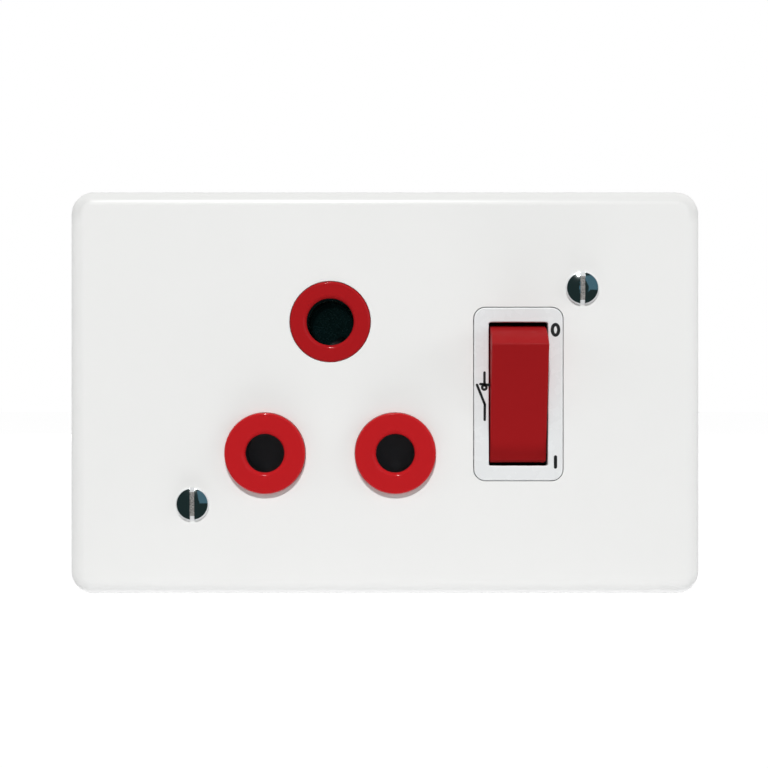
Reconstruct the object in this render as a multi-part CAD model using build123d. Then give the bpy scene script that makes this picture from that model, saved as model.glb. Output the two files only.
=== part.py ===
from build123d import *
import math
import os

# Switched socket outlet, 16 A, three round pins, on a pressed steel cover plate.
# Millimetres. X right and Z up as seen from the front, Y into the wall.
# The origin is the middle of the wall box screws on the back of the yoke, y = 0.

# Cover plate
plate_w = 123.2
plate_h = 78.8
plate_depth = 7.0
plate_corner_r = 4.4
plate_roll_r = 2.6
sheet_t = 1.2
cover_gap = 0.3
hole_gap = 0.15

# Pins that the socket takes, and the places of their holes
pin_pitch = 25.4
earth_slant = 28.6
socket_x = -10.7
pins_z = -11.8
pin_bore_r = 3.75
earth_bore_r = 4.55

# Red socket front
collar_r = 7.8
collar_edge_r = 0.35
collar_proud = 1.2
earth_collar_proud = 0.15
front_wall = 1.6
guide_wall = 1.85
guide_reach = 1.2
deck_post_r = 2.0

# Yoke, of pressed zinc-plated steel
yoke_w = 108.0
yoke_h = 56.0
yoke_t = 1.2
yoke_corner_r = 5.0
yoke_flange_w = 88.0
yoke_flange_h = 3.2
yoke_bend_r = 1.0
box_pitch = 84.0
box_slot_w = 3.8
box_slot_l = 8.4
window_corner_r = 13.0
window_margin = 1.6
switch_window_gap = 0.4
switch_window_r = 1.0

# Cover screws, whose holes sit a little off the middle of the plate
screw_half_x = 38.0
screw_half_z = 21.05
screw_shift_x = 0.45
screw_shift_z = -0.65
cover_screw_r = 1.75
cover_screw_l = 12.0
head_r = 3.25
head_h = 1.05
head_rim = 0.4
head_flat_r = 1.4
head_slot_w = 0.9
head_slot_d = 0.75
head_slot_l = 4.4
tapped_wall = 0.85
tapped_h = 2.2
thread_gap = 0.05
screw_point = 0.45

# Rear housing
housing_w = 49.2
housing_h = 47.0
housing_z = 0.9
housing_depth = 25.0
housing_corner_r = 3.0
housing_wall = 1.6
mould_edge_r = 0.6
floor_t = 2.0
rib_t = 1.6
rib_z = 2.8
column_r = 3.2
column_inset = 3.55
long_screw_r = 1.5
long_screw_head_r = 2.6
long_screw_head_h = 1.8
long_screw_bite = 1.2
screw_clear = 0.15
cutter_reach = 1.0
least_flat = 0.02

# Shutter, and the deck behind it
shutter_t = 1.7
shutter_gap = 0.25
shutter_wing_r = 4.15
shutter_hub_r = 2.7
shutter_pin_r = 1.4
shutter_pin_gap = 0.05
shutter_pin_drop = 2.85
shutter_nose_r = 1.0
shutter_nose_in = 1.3
shutter_nose_angle = 60.0
deck_t = 2.0
deck_gap = 0.2
deck_hole_gap = 0.2
spring_reach = 10.0
spring_l = 8.4
spring_r = 1.2
spring_wire_r = 0.18
spring_turns = 9
spring_clear = 0.25
abutment_t = 1.2

# Brass pin contacts
contact_r = 3.45
earth_contact_r = 4.3
contact_wall = 0.9
contact_depth = 8.0
earth_contact_depth = 16.6
contact_slit = 0.8
contact_slit_l = 6.0
contact_block = 8.8
contact_block_l = 9.4
block_overlap = 0.3
clip_wall = 0.6
clip_w = 3.0
clip_inset = 1.2
clip_mouth = 2.6
clip_gap = 0.03

# Terminals and their screws
wire_hole_r = 1.75
wire_hole_back = 5.6
wire_entry_r = 2.2
terminal_screw_r = 1.7
terminal_head_r = 2.4
terminal_head_h = 1.4
terminal_bite = 0.3
terminal_slot_w = 0.7
terminal_slot_d = 0.7
terminal_head_edge_r = 0.3
strap_t = 0.8
strap_w = 5.0
strap_ring_r = 2.9
link_t = 1.0
link_w = 5.0
link_back = 2.5
link_gap = 0.15

# Switch, with its bezel and its place
switch_x = 26.0
switch_z = -0.28
bezel_w = 17.3
bezel_h = 33.7
bezel_corner_r = 2.2
bezel_proud = 0.15
bezel_frame_t = 2.45
bezel_flange_w = 20.6
bezel_flange_h = 39.6
bezel_flange_r = 2.0
bezel_skirt_w = 2.0
opening_w = 11.55
opening_h = 28.0
opening_corner_r = 0.4
opening_edge_r = 0.25
case_w = 19.0
case_h = 41.0
case_depth = 22.0
case_corner_r = 2.0
case_cavity_h = 28.8
cheek_t = 1.85
cheek_l = 12.0
web_wall = 1.4
switch_screw_z = 17.2
switch_screw_r = 1.25
switch_screw_head_r = 2.2
switch_screw_head_h = 1.4
switch_screw_bite = 3.6

# Rocker, which rests with its lower end pressed in
rocker_w = 11.0
rocker_gap = 0.3
rocker_r = 13.5
rocker_face_h = 6.5
rocker_sag = 0.3
rocker_skirt = 2.2
rocker_wall = 1.4
rocker_crest_r = 0.6
rocker_edge_r = 0.35
rocker_tilt = 16.0
pivot_depth = 4.0
pivot_r = 1.5
pivot_gap = 0.05
pivot_stub = 1.6
pivot_boss_r = 2.2
barrel_r = 2.5
barrel_l = 7.4
barrel_bore_r = 1.65
barrel_bore_out = 1.5

# Plunger, bridge and contact tips
plunger_r = 1.6
plunger_l = 4.8
plunger_reach = 10.6
plunger_gap = 0.08
plunger_coil_r = 1.2
plunger_wire_r = 0.2
plunger_turns = 5
bridge_tilt = 9.0
bridge_vee = 10.0
bridge_half = 10.5
bridge_w = 5.4
bridge_t = 1.0
bridge_drop = 1.82
trunnion_r = 0.9
trunnion_gap = 0.06
trunnion_stub = 1.5
tip_r = 1.7
tip_t = 0.8
tip_shank_r = 0.8
tip_shank_l = 2.0
tip_along = 8.8
tip_gap = 0.08
cradle_gap = 0.4
cradle_t = 1.1
cradle_half = 2.0
terminal_w = 7.8
supply_block_l = 7.4
load_block_l = 7.6
strip_t = 1.2
stop_gap = 0.15

# Places worked out from the sizes above
plate_front = -plate_depth
plate_inner = plate_front + sheet_t
module_front = plate_inner + cover_gap
yoke_front = -yoke_t
front_back = module_front + front_wall
earth_x = socket_x
earth_z = pins_z + math.sqrt(earth_slant**2 - (pin_pitch / 2) ** 2)
line_x = socket_x + pin_pitch / 2
neutral_x = socket_x - pin_pitch / 2
shutter_front = guide_reach + shutter_gap
shutter_back = shutter_front + shutter_t
deck_front = shutter_back + shutter_gap
deck_back = deck_front + deck_t
floor_front = housing_depth - floor_t
housing_right = socket_x + housing_w / 2
housing_low = housing_z - housing_h / 2
housing_top = housing_z + housing_h / 2
inner_w = housing_w - 2 * housing_wall
inner_h = housing_h - 2 * housing_wall
column_dx = housing_w / 2 - column_inset
column_dz = housing_h / 2 - column_inset
columns = [(socket_x + i * column_dx, housing_z + j * column_dz) for i in (-1, 1) for j in (-1, 1)]
strap_column = columns[-1]
shutter_pin_z = earth_z - earth_bore_r - shutter_pin_drop
arm_angle = math.degrees(math.atan2(pin_pitch / 2, shutter_pin_z - pins_z))
cover_screws_at = [
    (screw_shift_x + i * screw_half_x, screw_shift_z + i * screw_half_z) for i in (-1, 1)
]
earth_tube_r = earth_contact_r + contact_wall
pin_tube_r = contact_r + contact_wall
earth_block_x = earth_x + earth_tube_r + contact_block / 2 - block_overlap
block_front = floor_front - contact_block_l
wire_y = floor_front - wire_hole_back
pivot_y = plate_front + pivot_depth
bezel_face = plate_front - bezel_proud
bezel_back = bezel_face + bezel_frame_t
cavity_w = rocker_w + 2 * rocker_gap
case_floor = case_depth - floor_t
case_right = switch_x + case_w / 2
bridge_top_y = pivot_y + plunger_reach + plunger_gap
bridge_y = bridge_top_y + bridge_drop
switch_wire_y = case_floor - wire_hole_back
tilt_rad = math.radians(bridge_tilt)
vee_rad = math.radians(bridge_vee)
tip_out = bridge_drop + tip_along * math.tan(vee_rad) - bridge_t / math.cos(vee_rad)
tip_y = bridge_y - tip_out * math.cos(tilt_rad) + tip_along * math.sin(tilt_rad)
tip_z = switch_z + tip_along * math.cos(tilt_rad) + tip_out * math.sin(tilt_rad)
fixed_face_y = tip_y + tip_t + tip_gap
load_front = fixed_face_y + tip_t
supply_front = tip_y + stop_gap
supply_z = switch_z - tip_along - cradle_gap
load_z = tip_z


def rounded(x, z, w, h, r):
    """An outline in X and Z: a rectangle with round corners."""
    return Pos(x, z) * RectangleRounded(w, h, min(r, (min(w, h) - least_flat) / 2))


def slab(outline, y_front, y_back):
    """An X and Z outline made solid between two depths."""
    return extrude(Plane.XZ.offset(-y_back) * outline, y_back - y_front)


def rod(x, z, r, y_front, y_back):
    """A round bar along Y."""
    return slab(Pos(x, z) * Circle(r), y_front, y_back)


def block(x0, x1, y0, y1, z0, z1):
    """A square block between its limits."""
    middle = Pos((x0 + x1) / 2, (y0 + y1) / 2, (z0 + z1) / 2)
    return middle * Box(x1 - x0, y1 - y0, z1 - z0)


def cross_bar(r, x0, x1, y, z):
    """A round bar along X."""
    return Pos((x0 + x1) / 2, y, z) * Rot(0, 90, 0) * Cylinder(r, x1 - x0)


def upright_bar(r, x, y, z0, z1):
    """A round bar along Z."""
    return Pos(x, y, (z0 + z1) / 2) * Cylinder(r, z1 - z0)


def tilted(shape, degrees, y, z):
    """A shape turned about the X line through y and z, top outwards when positive."""
    return Pos(0, y, z) * Rot(degrees, 0, 0) * Pos(0, -y, -z) * shape


def front_edges(shape):
    """The edges of a shape that lie furthest forward."""
    return shape.edges().group_by(Axis.Y)[0]


def back_edges(shape):
    """The edges of a shape that lie furthest back."""
    return shape.edges().group_by(Axis.Y)[-1]


def coil(radius, wire_r, length, turns):
    """A coil spring that stands on the origin along Z."""
    path = Helix(pitch=(length - 2 * wire_r) / turns, height=length - 2 * wire_r, radius=radius)
    wire = sweep((path ^ 0) * Circle(wire_r), path=path, is_frenet=True)
    return Pos(0, 0, wire_r) * wire


def slotted_screw(x, z, shank_r, tip_y, seat_y, screw_head_r, screw_head_h, slot_w, slot_d):
    """A cheese head screw along Y whose head lies behind its seat."""
    head_back = seat_y + screw_head_h
    head = rod(x, z, screw_head_r, seat_y, head_back)
    head = fillet(back_edges(head), terminal_head_edge_r)
    slot = block(
        x - slot_w / 2, x + slot_w / 2,
        head_back - slot_d, head_back + slot_d,
        z - screw_head_r, z + screw_head_r,
    )
    shank = rod(x, z, shank_r, tip_y, seat_y)
    return head - slot + chamfer(front_edges(shank), screw_point)


def cover_plate():
    """The pressed steel plate with rolled edges."""
    plate = slab(rounded(0, 0, plate_w, plate_h, plate_corner_r), plate_front, 0)
    plate = fillet(front_edges(plate), plate_roll_r)
    inner_r = plate_corner_r - sheet_t
    hollow = slab(
        rounded(0, 0, plate_w - 2 * sheet_t, plate_h - 2 * sheet_t, inner_r), plate_inner, 0
    )
    plate -= fillet(front_edges(hollow), plate_roll_r - sheet_t)
    for x, z in ((earth_x, earth_z), (line_x, pins_z), (neutral_x, pins_z)):
        plate -= rod(x, z, collar_r + hole_gap, plate_front, plate_inner)
    window = rounded(
        switch_x, switch_z,
        bezel_w + 2 * hole_gap, bezel_h + 2 * hole_gap, bezel_corner_r + hole_gap,
    )
    plate -= slab(window, plate_front, plate_inner)
    for x, z in cover_screws_at:
        plate -= rod(x, z, cover_screw_r + screw_clear, plate_front, plate_inner)
    return plate


def cover_screws():
    """Two round head screws with upright slots, through the plate into the yoke."""
    rise = head_h - head_rim
    ball_depth = (head_r**2 - head_flat_r**2 + rise**2) / (2 * rise)
    ball_r = math.hypot(head_flat_r, ball_depth)
    dome_top = plate_front - head_h
    screws = []
    for x, z in cover_screws_at:
        head = rod(x, z, head_r, dome_top, plate_front)
        head &= Pos(x, dome_top + ball_depth, z) * Sphere(ball_r)
        head -= Pos(x, 0, z) * slot_cutter(dome_top)
        shank = rod(x, z, cover_screw_r, plate_front, plate_front + cover_screw_l)
        screws.append(head + chamfer(back_edges(shank), screw_point))
    return Compound(children=screws)


def slot_cutter(dome_top):
    """The slot of a cover screw, level in the middle and falling away to the rim."""
    floor = dome_top + head_slot_d
    half = head_slot_l / 2
    points = [
        (-half, floor), (half, floor), (head_r, plate_front), (head_r, dome_top),
        (-head_r, dome_top), (-head_r, plate_front),
    ]
    side = Plane(origin=(-head_slot_w / 2, 0, 0), x_dir=(0, 0, 1), z_dir=(-1, 0, 0))
    outline = make_face(Polyline(*[(z, y) for z, y in points], close=True))
    return extrude(side * outline, -head_slot_w)


def mounting_yoke():
    """The steel strap that carries the mechanism on the wall box."""
    yoke = slab(rounded(0, 0, yoke_w, yoke_h, yoke_corner_r), yoke_front, 0)
    for side in (-1, 1):
        outer = side * yoke_h / 2
        inner = outer - side * yoke_t
        yoke += block(
            -yoke_flange_w / 2, yoke_flange_w / 2,
            yoke_front - yoke_flange_h, 0,
            min(outer, inner), max(outer, inner),
        )
    bends = yoke.edges().filter_by(Axis.X).group_by(Axis.Y)[-1]
    yoke = fillet(bends, yoke_bend_r)
    for x, z in cover_screws_at:
        yoke += rod(x, z, cover_screw_r + thread_gap + tapped_wall, yoke_front - tapped_h, 0)
        yoke -= rod(x, z, cover_screw_r + thread_gap, yoke_front - tapped_h, 0)
    window_w = inner_w - window_margin
    window_h = inner_h - window_margin
    yoke -= slab(rounded(socket_x, housing_z, window_w, window_h, window_corner_r), yoke_front, 0)
    cheek_window = rounded(
        switch_x, switch_z,
        cavity_w + 2 * cheek_t + 2 * switch_window_gap,
        case_cavity_h + 2 * switch_window_gap, switch_window_r,
    )
    yoke -= slab(cheek_window, yoke_front, 0)
    for side in (-1, 1):
        slot = Pos(side * box_pitch / 2, 0) * SlotOverall(box_slot_l, box_slot_w)
        yoke -= slab(slot, yoke_front, 0)
        yoke -= rod(
            switch_x, switch_z + side * switch_screw_z, switch_screw_r + screw_clear, yoke_front, 0
        )
    for x, z in columns:
        yoke -= rod(x, z, long_screw_r + screw_clear, yoke_front, 0)
    return yoke


def collar(x, z, bore_r, proud):
    """One round collar that stands out through the plate."""
    ring = rod(x, z, collar_r, plate_front - proud, front_back)
    ring -= rod(x, z, bore_r, plate_front - proud, front_back)
    return fillet(front_edges(ring), collar_edge_r)


def socket_front():
    """The red moulding: three collars, their guide tubes and a hollow flange."""
    outline = rounded(socket_x, housing_z, housing_w, housing_h, housing_corner_r)
    inside = rounded(socket_x, housing_z, inner_w, inner_h, housing_corner_r - housing_wall)
    front = slab(outline, module_front, yoke_front) - slab(inside, front_back, yoke_front)
    holes = (
        (earth_x, earth_z, earth_bore_r, earth_collar_proud),
        (line_x, pins_z, pin_bore_r, collar_proud),
        (neutral_x, pins_z, pin_bore_r, collar_proud),
    )
    for x, z, bore_r, proud in holes:
        front += rod(x, z, bore_r + guide_wall, module_front, guide_reach)
    for x, z in columns:
        front += rod(x, z, column_r, module_front, yoke_front)
        front -= rod(x, z, long_screw_r + thread_gap, front_back - long_screw_bite, yoke_front)
    front &= slab(outline, module_front, guide_reach)
    front += rod(earth_x, shutter_pin_z, shutter_hub_r, module_front, guide_reach)
    front += rod(earth_x, shutter_pin_z, shutter_pin_r, guide_reach, deck_front - shutter_pin_gap)
    for x, z in deck_posts():
        front += rod(x, z, deck_post_r, module_front, deck_front)
    for x, z, bore_r, proud in holes:
        front -= rod(x, z, bore_r, module_front, guide_reach)
        front -= rod(x, z, collar_r, plate_front, module_front)
        front += collar(x, z, bore_r, proud)
    return front


def deck_posts():
    """Where two posts of the front press the deck down, clear of the shutter."""
    left = neutral_x - deck_post_r * 2
    right = line_x + collar_r - deck_post_r
    return [(left, earth_z + deck_post_r), (right, rib_z + deck_post_r)]


def shutter_frame():
    """The place of the shutter's pin, turned down the arm of the neutral wing."""
    return Pos(earth_x, 0, shutter_pin_z) * Rot(0, arm_angle, 0)


def shutter():
    """The swinging shutter: one hub, two wings over the pin holes and a nose."""
    hub = Pos(earth_x, shutter_pin_z) * Circle(shutter_hub_r)
    outline = hub
    for x in (neutral_x, line_x):
        wing = Pos(x, pins_z) * Circle(shutter_wing_r)
        outline += make_hull(hub.edges() + wing.edges())
    away = earth_bore_r - shutter_nose_in + shutter_nose_r
    nose_x = earth_x + away * math.cos(math.radians(shutter_nose_angle))
    nose_z = earth_z - away * math.sin(math.radians(shutter_nose_angle))
    nose = Pos(nose_x, nose_z) * Circle(shutter_nose_r)
    outline += make_hull(hub.edges() + nose.edges())
    plate = slab(outline, shutter_front, shutter_back)
    return plate - rod(
        earth_x, shutter_pin_z, shutter_pin_r + shutter_pin_gap, shutter_front, shutter_back
    )


def spring_start():
    """How far from the arm's middle line the shutter spring begins."""
    share = spring_reach / math.hypot(pin_pitch / 2, shutter_pin_z - pins_z)
    return shutter_hub_r + share * (shutter_wing_r - shutter_hub_r) + spring_clear


def shutter_spring():
    """The coil spring that swings the shutter back over the holes."""
    wire = coil(spring_r, spring_wire_r, spring_l, spring_turns)
    place = Pos(-spring_start(), spring_axis_y(), -spring_reach) * Rot(0, -90, 0)
    return shutter_frame() * place * wire


def spring_axis_y():
    """The depth of the shutter spring's axis."""
    return guide_reach + spring_clear + spring_r + spring_wire_r


def contact_deck():
    """The plate behind the shutter that holds the contacts in the housing."""
    outline = rounded(
        socket_x, housing_z,
        inner_w - 2 * deck_gap, inner_h - 2 * deck_gap, housing_corner_r - housing_wall,
    )
    deck = slab(outline, deck_front, deck_back)
    for x, z in columns:
        deck -= rod(x, z, column_r + deck_gap, deck_front, deck_back)
    for x, z, r in (
        (earth_x, earth_z, earth_bore_r),
        (line_x, pins_z, pin_bore_r),
        (neutral_x, pins_z, pin_bore_r),
    ):
        deck -= rod(x, z, r + deck_hole_gap, deck_front, deck_back)
    start = spring_start()
    half = spring_r + spring_wire_r + spring_clear
    pocket_back = spring_axis_y() + half
    pocket = block(
        -start - spring_l - spring_clear, -start, deck_front, pocket_back,
        -spring_reach - half, -spring_reach + half,
    )
    abutment = block(
        -start - spring_l - spring_clear - abutment_t, -start - spring_l - spring_clear,
        shutter_front, deck_back, -spring_reach - half, -spring_reach + half,
    )
    deck -= shutter_frame() * pocket
    deck += shutter_frame() * abutment
    leg = strap_leg_limits(deck_gap)
    return deck - block(leg[0], leg[1], deck_front, deck_back, leg[2], leg[3])


def strap_leg_limits(gap):
    """The X and Z limits of the earth strap's leg, with room round it."""
    x0 = earth_block_x + contact_block / 2
    return x0 - gap, x0 + strap_t + gap, earth_z - strap_w / 2 - gap, earth_z + strap_w / 2 + gap


def strap_tongue(gap):
    """The outline of the strap's flat end, from its leg to the housing screw."""
    leg = strap_leg_limits(gap)
    foot = Pos((leg[0] + leg[1]) / 2, (leg[2] + leg[3]) / 2) * Rectangle(
        leg[1] - leg[0], leg[3] - leg[2]
    )
    ring = Pos(*strap_column) * Circle(strap_ring_r + gap)
    return make_hull(foot.edges() + ring.edges())


def earth_strap():
    """The strap that ties the earth contact to the steel yoke."""
    leg = strap_leg_limits(0)
    strap = block(leg[0], leg[1], 0, wire_y, leg[2], leg[3])
    strap += slab(strap_tongue(0), 0, strap_t)
    return strap - rod(*strap_column, long_screw_r + screw_clear, 0, strap_t)


def link_outline(gap):
    """The X and Z outline of the bent link strip, with room round it."""
    half = link_t / 2 + gap
    x_line = line_x + contact_block / 2
    x_load = switch_x - terminal_w / 2
    x_run = link_run_x()
    outline = Pos(x_run, (pins_z + load_z) / 2) * Rectangle(2 * half, load_z - pins_z + 2 * half)
    for x0, x1, z in ((x_line, x_run + half, pins_z), (x_run - half, x_load, load_z)):
        outline += Pos((x0 + x1) / 2, z) * Rectangle(x1 - x0, 2 * half)
    return outline


def link_run_x():
    """Where the link runs upright, in the middle of the web beside the switch."""
    return (housing_right + web_wall + switch_x - cavity_w / 2 - web_wall) / 2


def line_link():
    """The copper strip from the switch to the line contact."""
    y_back = case_floor - link_back
    strip = slab(link_outline(0), y_back - link_w, y_back)
    return strip


def clamp_block(x, z, size_x, size_z, y_front, y_back, wire_depth, wire_axis):
    """A brass block with a wire hole across it and a screw hole from behind."""
    brass = block(
        x - size_x / 2, x + size_x / 2, y_front, y_back, z - size_z / 2, z + size_z / 2
    )
    if wire_axis == "x":
        brass -= cross_bar(wire_hole_r, x - size_x, x + size_x, wire_depth, z)
    else:
        brass -= upright_bar(wire_hole_r, x, wire_depth, z - size_z, z + size_z)
    return brass - rod(x, z, terminal_screw_r + thread_gap, wire_depth, y_back)


def split_tube(x, z, bore_r, depth):
    """A split brass tube with a blind bore, its mouth on the deck."""
    back = deck_back + depth + contact_wall
    tube = rod(x, z, bore_r + contact_wall, deck_back, back)
    tube -= rod(x, z, bore_r, deck_back, deck_back + depth)
    mouth = front_edges(tube).sort_by(SortBy.LENGTH)[0]
    tube = chamfer(mouth, contact_wall / 2)
    slit_r = bore_r + 2 * contact_wall
    return tube - block(
        x - contact_slit / 2, x + contact_slit / 2,
        deck_back, deck_back + contact_slit_l, z - slit_r, z + slit_r,
    )


def line_contact():
    """The switched contact, a split tube on a solid block."""
    half = contact_block / 2
    brass = split_tube(line_x, pins_z, contact_r, contact_depth)
    return brass + block(
        line_x - half, line_x + half, block_front, floor_front, pins_z - half, pins_z + half
    )


def neutral_contact():
    """The neutral contact, a split tube on a clamp block."""
    brass = split_tube(neutral_x, pins_z, contact_r, contact_depth)
    return brass + clamp_block(
        neutral_x, pins_z, contact_block, contact_block, block_front, floor_front, wire_y, "z"
    )


def earth_contact():
    """The longer earth contact, with its clamp block beside the tube."""
    depth = earth_contact_depth
    brass = clamp_block(
        earth_block_x, earth_z, contact_block, contact_block, block_front, floor_front, wire_y, "z"
    )
    brass -= rod(earth_x, earth_z, earth_contact_r + contact_wall / 2, block_front, floor_front)
    return brass + split_tube(earth_x, earth_z, earth_contact_r, depth)


def contact_clip(x, z, tube_r):
    """A spring steel ring that holds a split tube together."""
    y0 = deck_back + clip_inset
    inner = tube_r + clip_gap
    ring = rod(x, z, inner + clip_wall, y0, y0 + clip_w) - rod(x, z, inner, y0, y0 + clip_w)
    mouth = clip_mouth / 2
    return ring - block(x - inner - 2 * clip_wall, x, y0, y0 + clip_w, z - mouth, z + mouth)


def terminal_screws():
    """Three clamp screws, for the supply line, the neutral and the earth."""
    places = (
        (neutral_x, pins_z, wire_y, floor_front),
        (earth_block_x, earth_z, wire_y, floor_front),
        (switch_x, supply_z, switch_wire_y, case_floor),
    )
    screws = [
        slotted_screw(
            x, z, terminal_screw_r, wire_depth + wire_hole_r - terminal_bite, seat,
            terminal_head_r, terminal_head_h, terminal_slot_w, terminal_slot_d,
        )
        for x, z, wire_depth, seat in places
    ]
    return Compound(children=screws)


def housing_screws():
    """Four long screws that hold the housing, the yoke and the front together."""
    screws = [
        slotted_screw(
            x, z, long_screw_r, front_back - long_screw_bite + screw_clear,
            housing_depth - long_screw_head_h,
            long_screw_head_r, long_screw_head_h, terminal_slot_w, terminal_slot_d,
        )
        for x, z in columns
    ]
    return Compound(children=screws)


def switch_screws():
    """Two screws that hold the bezel, the yoke and the housing together."""
    screws = [
        slotted_screw(
            switch_x, switch_z + side * switch_screw_z, switch_screw_r,
            yoke_front - switch_screw_bite + screw_clear, case_depth - switch_screw_head_h,
            switch_screw_head_r, switch_screw_head_h, terminal_slot_w, terminal_slot_d,
        )
        for side in (-1, 1)
    ]
    return Compound(children=screws)


def rear_housing():
    """The rear moulding with the socket chambers and the switch case."""
    shell = housing_shell()
    body = shell + switch_case()
    body -= slab(
        rounded(socket_x, housing_z, inner_w, inner_h, housing_corner_r - housing_wall),
        0, deck_back,
    )
    left = socket_x - inner_w / 2
    right = socket_x + inner_w / 2
    low = housing_z - inner_h / 2
    top = housing_z + inner_h / 2
    body -= block(left, right, deck_back, floor_front, rib_z + rib_t / 2, top)
    body -= block(left, socket_x - rib_t / 2, deck_back, floor_front, low, rib_z - rib_t / 2)
    body -= block(socket_x + rib_t / 2, right, deck_back, floor_front, low, rib_z - rib_t / 2)
    for x, z in columns:
        body += rod(x, z, column_r, 0, housing_depth) & shell
        body -= rod(x, z, long_screw_r + screw_clear, 0, housing_depth)
        body -= rod(
            x, z, long_screw_head_r + screw_clear,
            housing_depth - long_screw_head_h, housing_depth,
        )
    body += contact_frames()
    body -= slab(strap_tongue(deck_gap), 0, strap_t)
    body = carve_switch(body)
    for x, z in ((neutral_x, pins_z), (earth_block_x, earth_z)):
        body -= rod(x, z, terminal_head_r + screw_clear, floor_front, housing_depth)
    body -= upright_bar(
        wire_entry_r, neutral_x, wire_y, housing_low - cutter_reach, low + cutter_reach
    )
    return body - upright_bar(
        wire_entry_r, earth_block_x, wire_y, top - cutter_reach, housing_top + cutter_reach
    )


def housing_shell():
    """The outside of the socket's part of the rear moulding, as a solid."""
    outline = rounded(socket_x, housing_z, housing_w, housing_h, housing_corner_r)
    shell = slab(outline, 0, housing_depth)
    return fillet(back_edges(shell), mould_edge_r)


def switch_case():
    """The outside of the switch's part of the rear moulding, as a solid."""
    outline = rounded(switch_x, switch_z, case_w, case_h, case_corner_r)
    joined_w = switch_x - housing_right + housing_wall
    outline += Pos(switch_x - joined_w / 2, switch_z) * Rectangle(joined_w, case_h)
    shell = slab(outline, 0, case_depth)
    return fillet(back_edges(shell), mould_edge_r)


def contact_frames():
    """Low walls on the housing floor that locate the contact blocks."""
    frames = []
    outer = contact_block / 2 + deck_gap + housing_wall
    inner = contact_block / 2 + deck_gap
    for x in (neutral_x, line_x):
        wall = block(
            x - outer, x + outer, floor_front - floor_t, floor_front,
            pins_z - outer, pins_z + outer,
        )
        wall -= block(
            x - inner, x + inner, floor_front - floor_t, floor_front,
            pins_z - inner, pins_z + inner,
        )
        frames.append(wall)
    return frames[0] + frames[1]


def carve_switch(body):
    """Cut the switch case, its bearings, the link channel and its holes."""
    half_w = cavity_w / 2
    half_h = case_cavity_h / 2
    ears = block(
        switch_x - half_w - cheek_t, switch_x + half_w + cheek_t,
        bezel_back + hole_gap, 0, switch_z - cheek_l / 2, switch_z + cheek_l / 2,
    )
    body += ears
    body -= block(
        switch_x - half_w, switch_x + half_w, bezel_back, case_floor,
        switch_z - half_h, switch_z + half_h,
    )
    bearing = half_w + cheek_t
    body -= cross_bar(
        pivot_r + pivot_gap, switch_x - bearing, switch_x + bearing, pivot_y, switch_z
    )
    body -= block(
        switch_x - bearing, switch_x + bearing, bezel_back, pivot_y,
        switch_z - pivot_r - pivot_gap, switch_z + pivot_r + pivot_gap,
    )
    channel_back = case_floor - link_back + link_gap
    body -= block(
        housing_right + web_wall, switch_x - half_w - web_wall, 0, channel_back,
        switch_z - case_h / 2 + web_wall, switch_z + case_h / 2 - web_wall,
    )
    body -= slab(link_outline(link_gap), 0, channel_back)
    body -= rod(switch_x, supply_z, terminal_head_r + screw_clear, case_floor, case_depth)
    body -= cross_bar(
        wire_entry_r, switch_x + half_w - cutter_reach, case_right + cutter_reach,
        switch_wire_y, supply_z,
    )
    for side in (-1, 1):
        z = switch_z + side * switch_screw_z
        body -= rod(switch_x, z, switch_screw_r + screw_clear, 0, case_depth)
        body -= rod(
            switch_x, z, switch_screw_head_r + screw_clear,
            case_depth - switch_screw_head_h, case_depth,
        )
    return body


def switch_bezel():
    """The white frame round the rocker, with a skirt that stands on the yoke."""
    frame = slab(rounded(switch_x, switch_z, bezel_w, bezel_h, bezel_corner_r), bezel_face, bezel_back)
    opening = rounded(switch_x, switch_z, opening_w, opening_h, opening_corner_r)
    frame -= slab(opening, bezel_face, bezel_back)
    frame = fillet(front_edges(frame), opening_edge_r)
    skirt = rounded(switch_x, switch_z, bezel_flange_w, bezel_flange_h, bezel_flange_r)
    inside_h = 2 * (switch_screw_z - bezel_skirt_w)
    skirt -= rounded(
        switch_x, switch_z, bezel_flange_w - 2 * bezel_skirt_w, inside_h, bezel_flange_r / 2
    )
    frame += slab(skirt, module_front, yoke_front)
    for side in (-1, 1):
        frame -= rod(
            switch_x, switch_z + side * switch_screw_z, switch_screw_r + thread_gap,
            yoke_front - switch_screw_bite, yoke_front,
        )
    return frame


def rocker_outline(end_r, face_h, skirt):
    """The rocker's side outline: a hollow face and ends round the pivot."""
    crest = math.sqrt(end_r**2 - face_h**2)
    foot = math.sqrt(end_r**2 - skirt**2)
    face = ThreePointArc((-crest, face_h), (0, face_h - rocker_sag), (crest, face_h))
    right = ThreePointArc((crest, face_h), (end_r, 0), (foot, -skirt))
    base = Line((foot, -skirt), (-foot, -skirt))
    left = ThreePointArc((-foot, -skirt), (-end_r, 0), (-crest, face_h))
    return make_face([face, right, base, left])


def side_slab(outline, width):
    """A side outline, upright and outwards from the pivot, made solid across X."""
    plane = Plane(
        origin=(switch_x - width / 2, pivot_y, switch_z), x_dir=(0, 0, 1), z_dir=(1, 0, 0)
    )
    return extrude(plane * outline, width)


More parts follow.
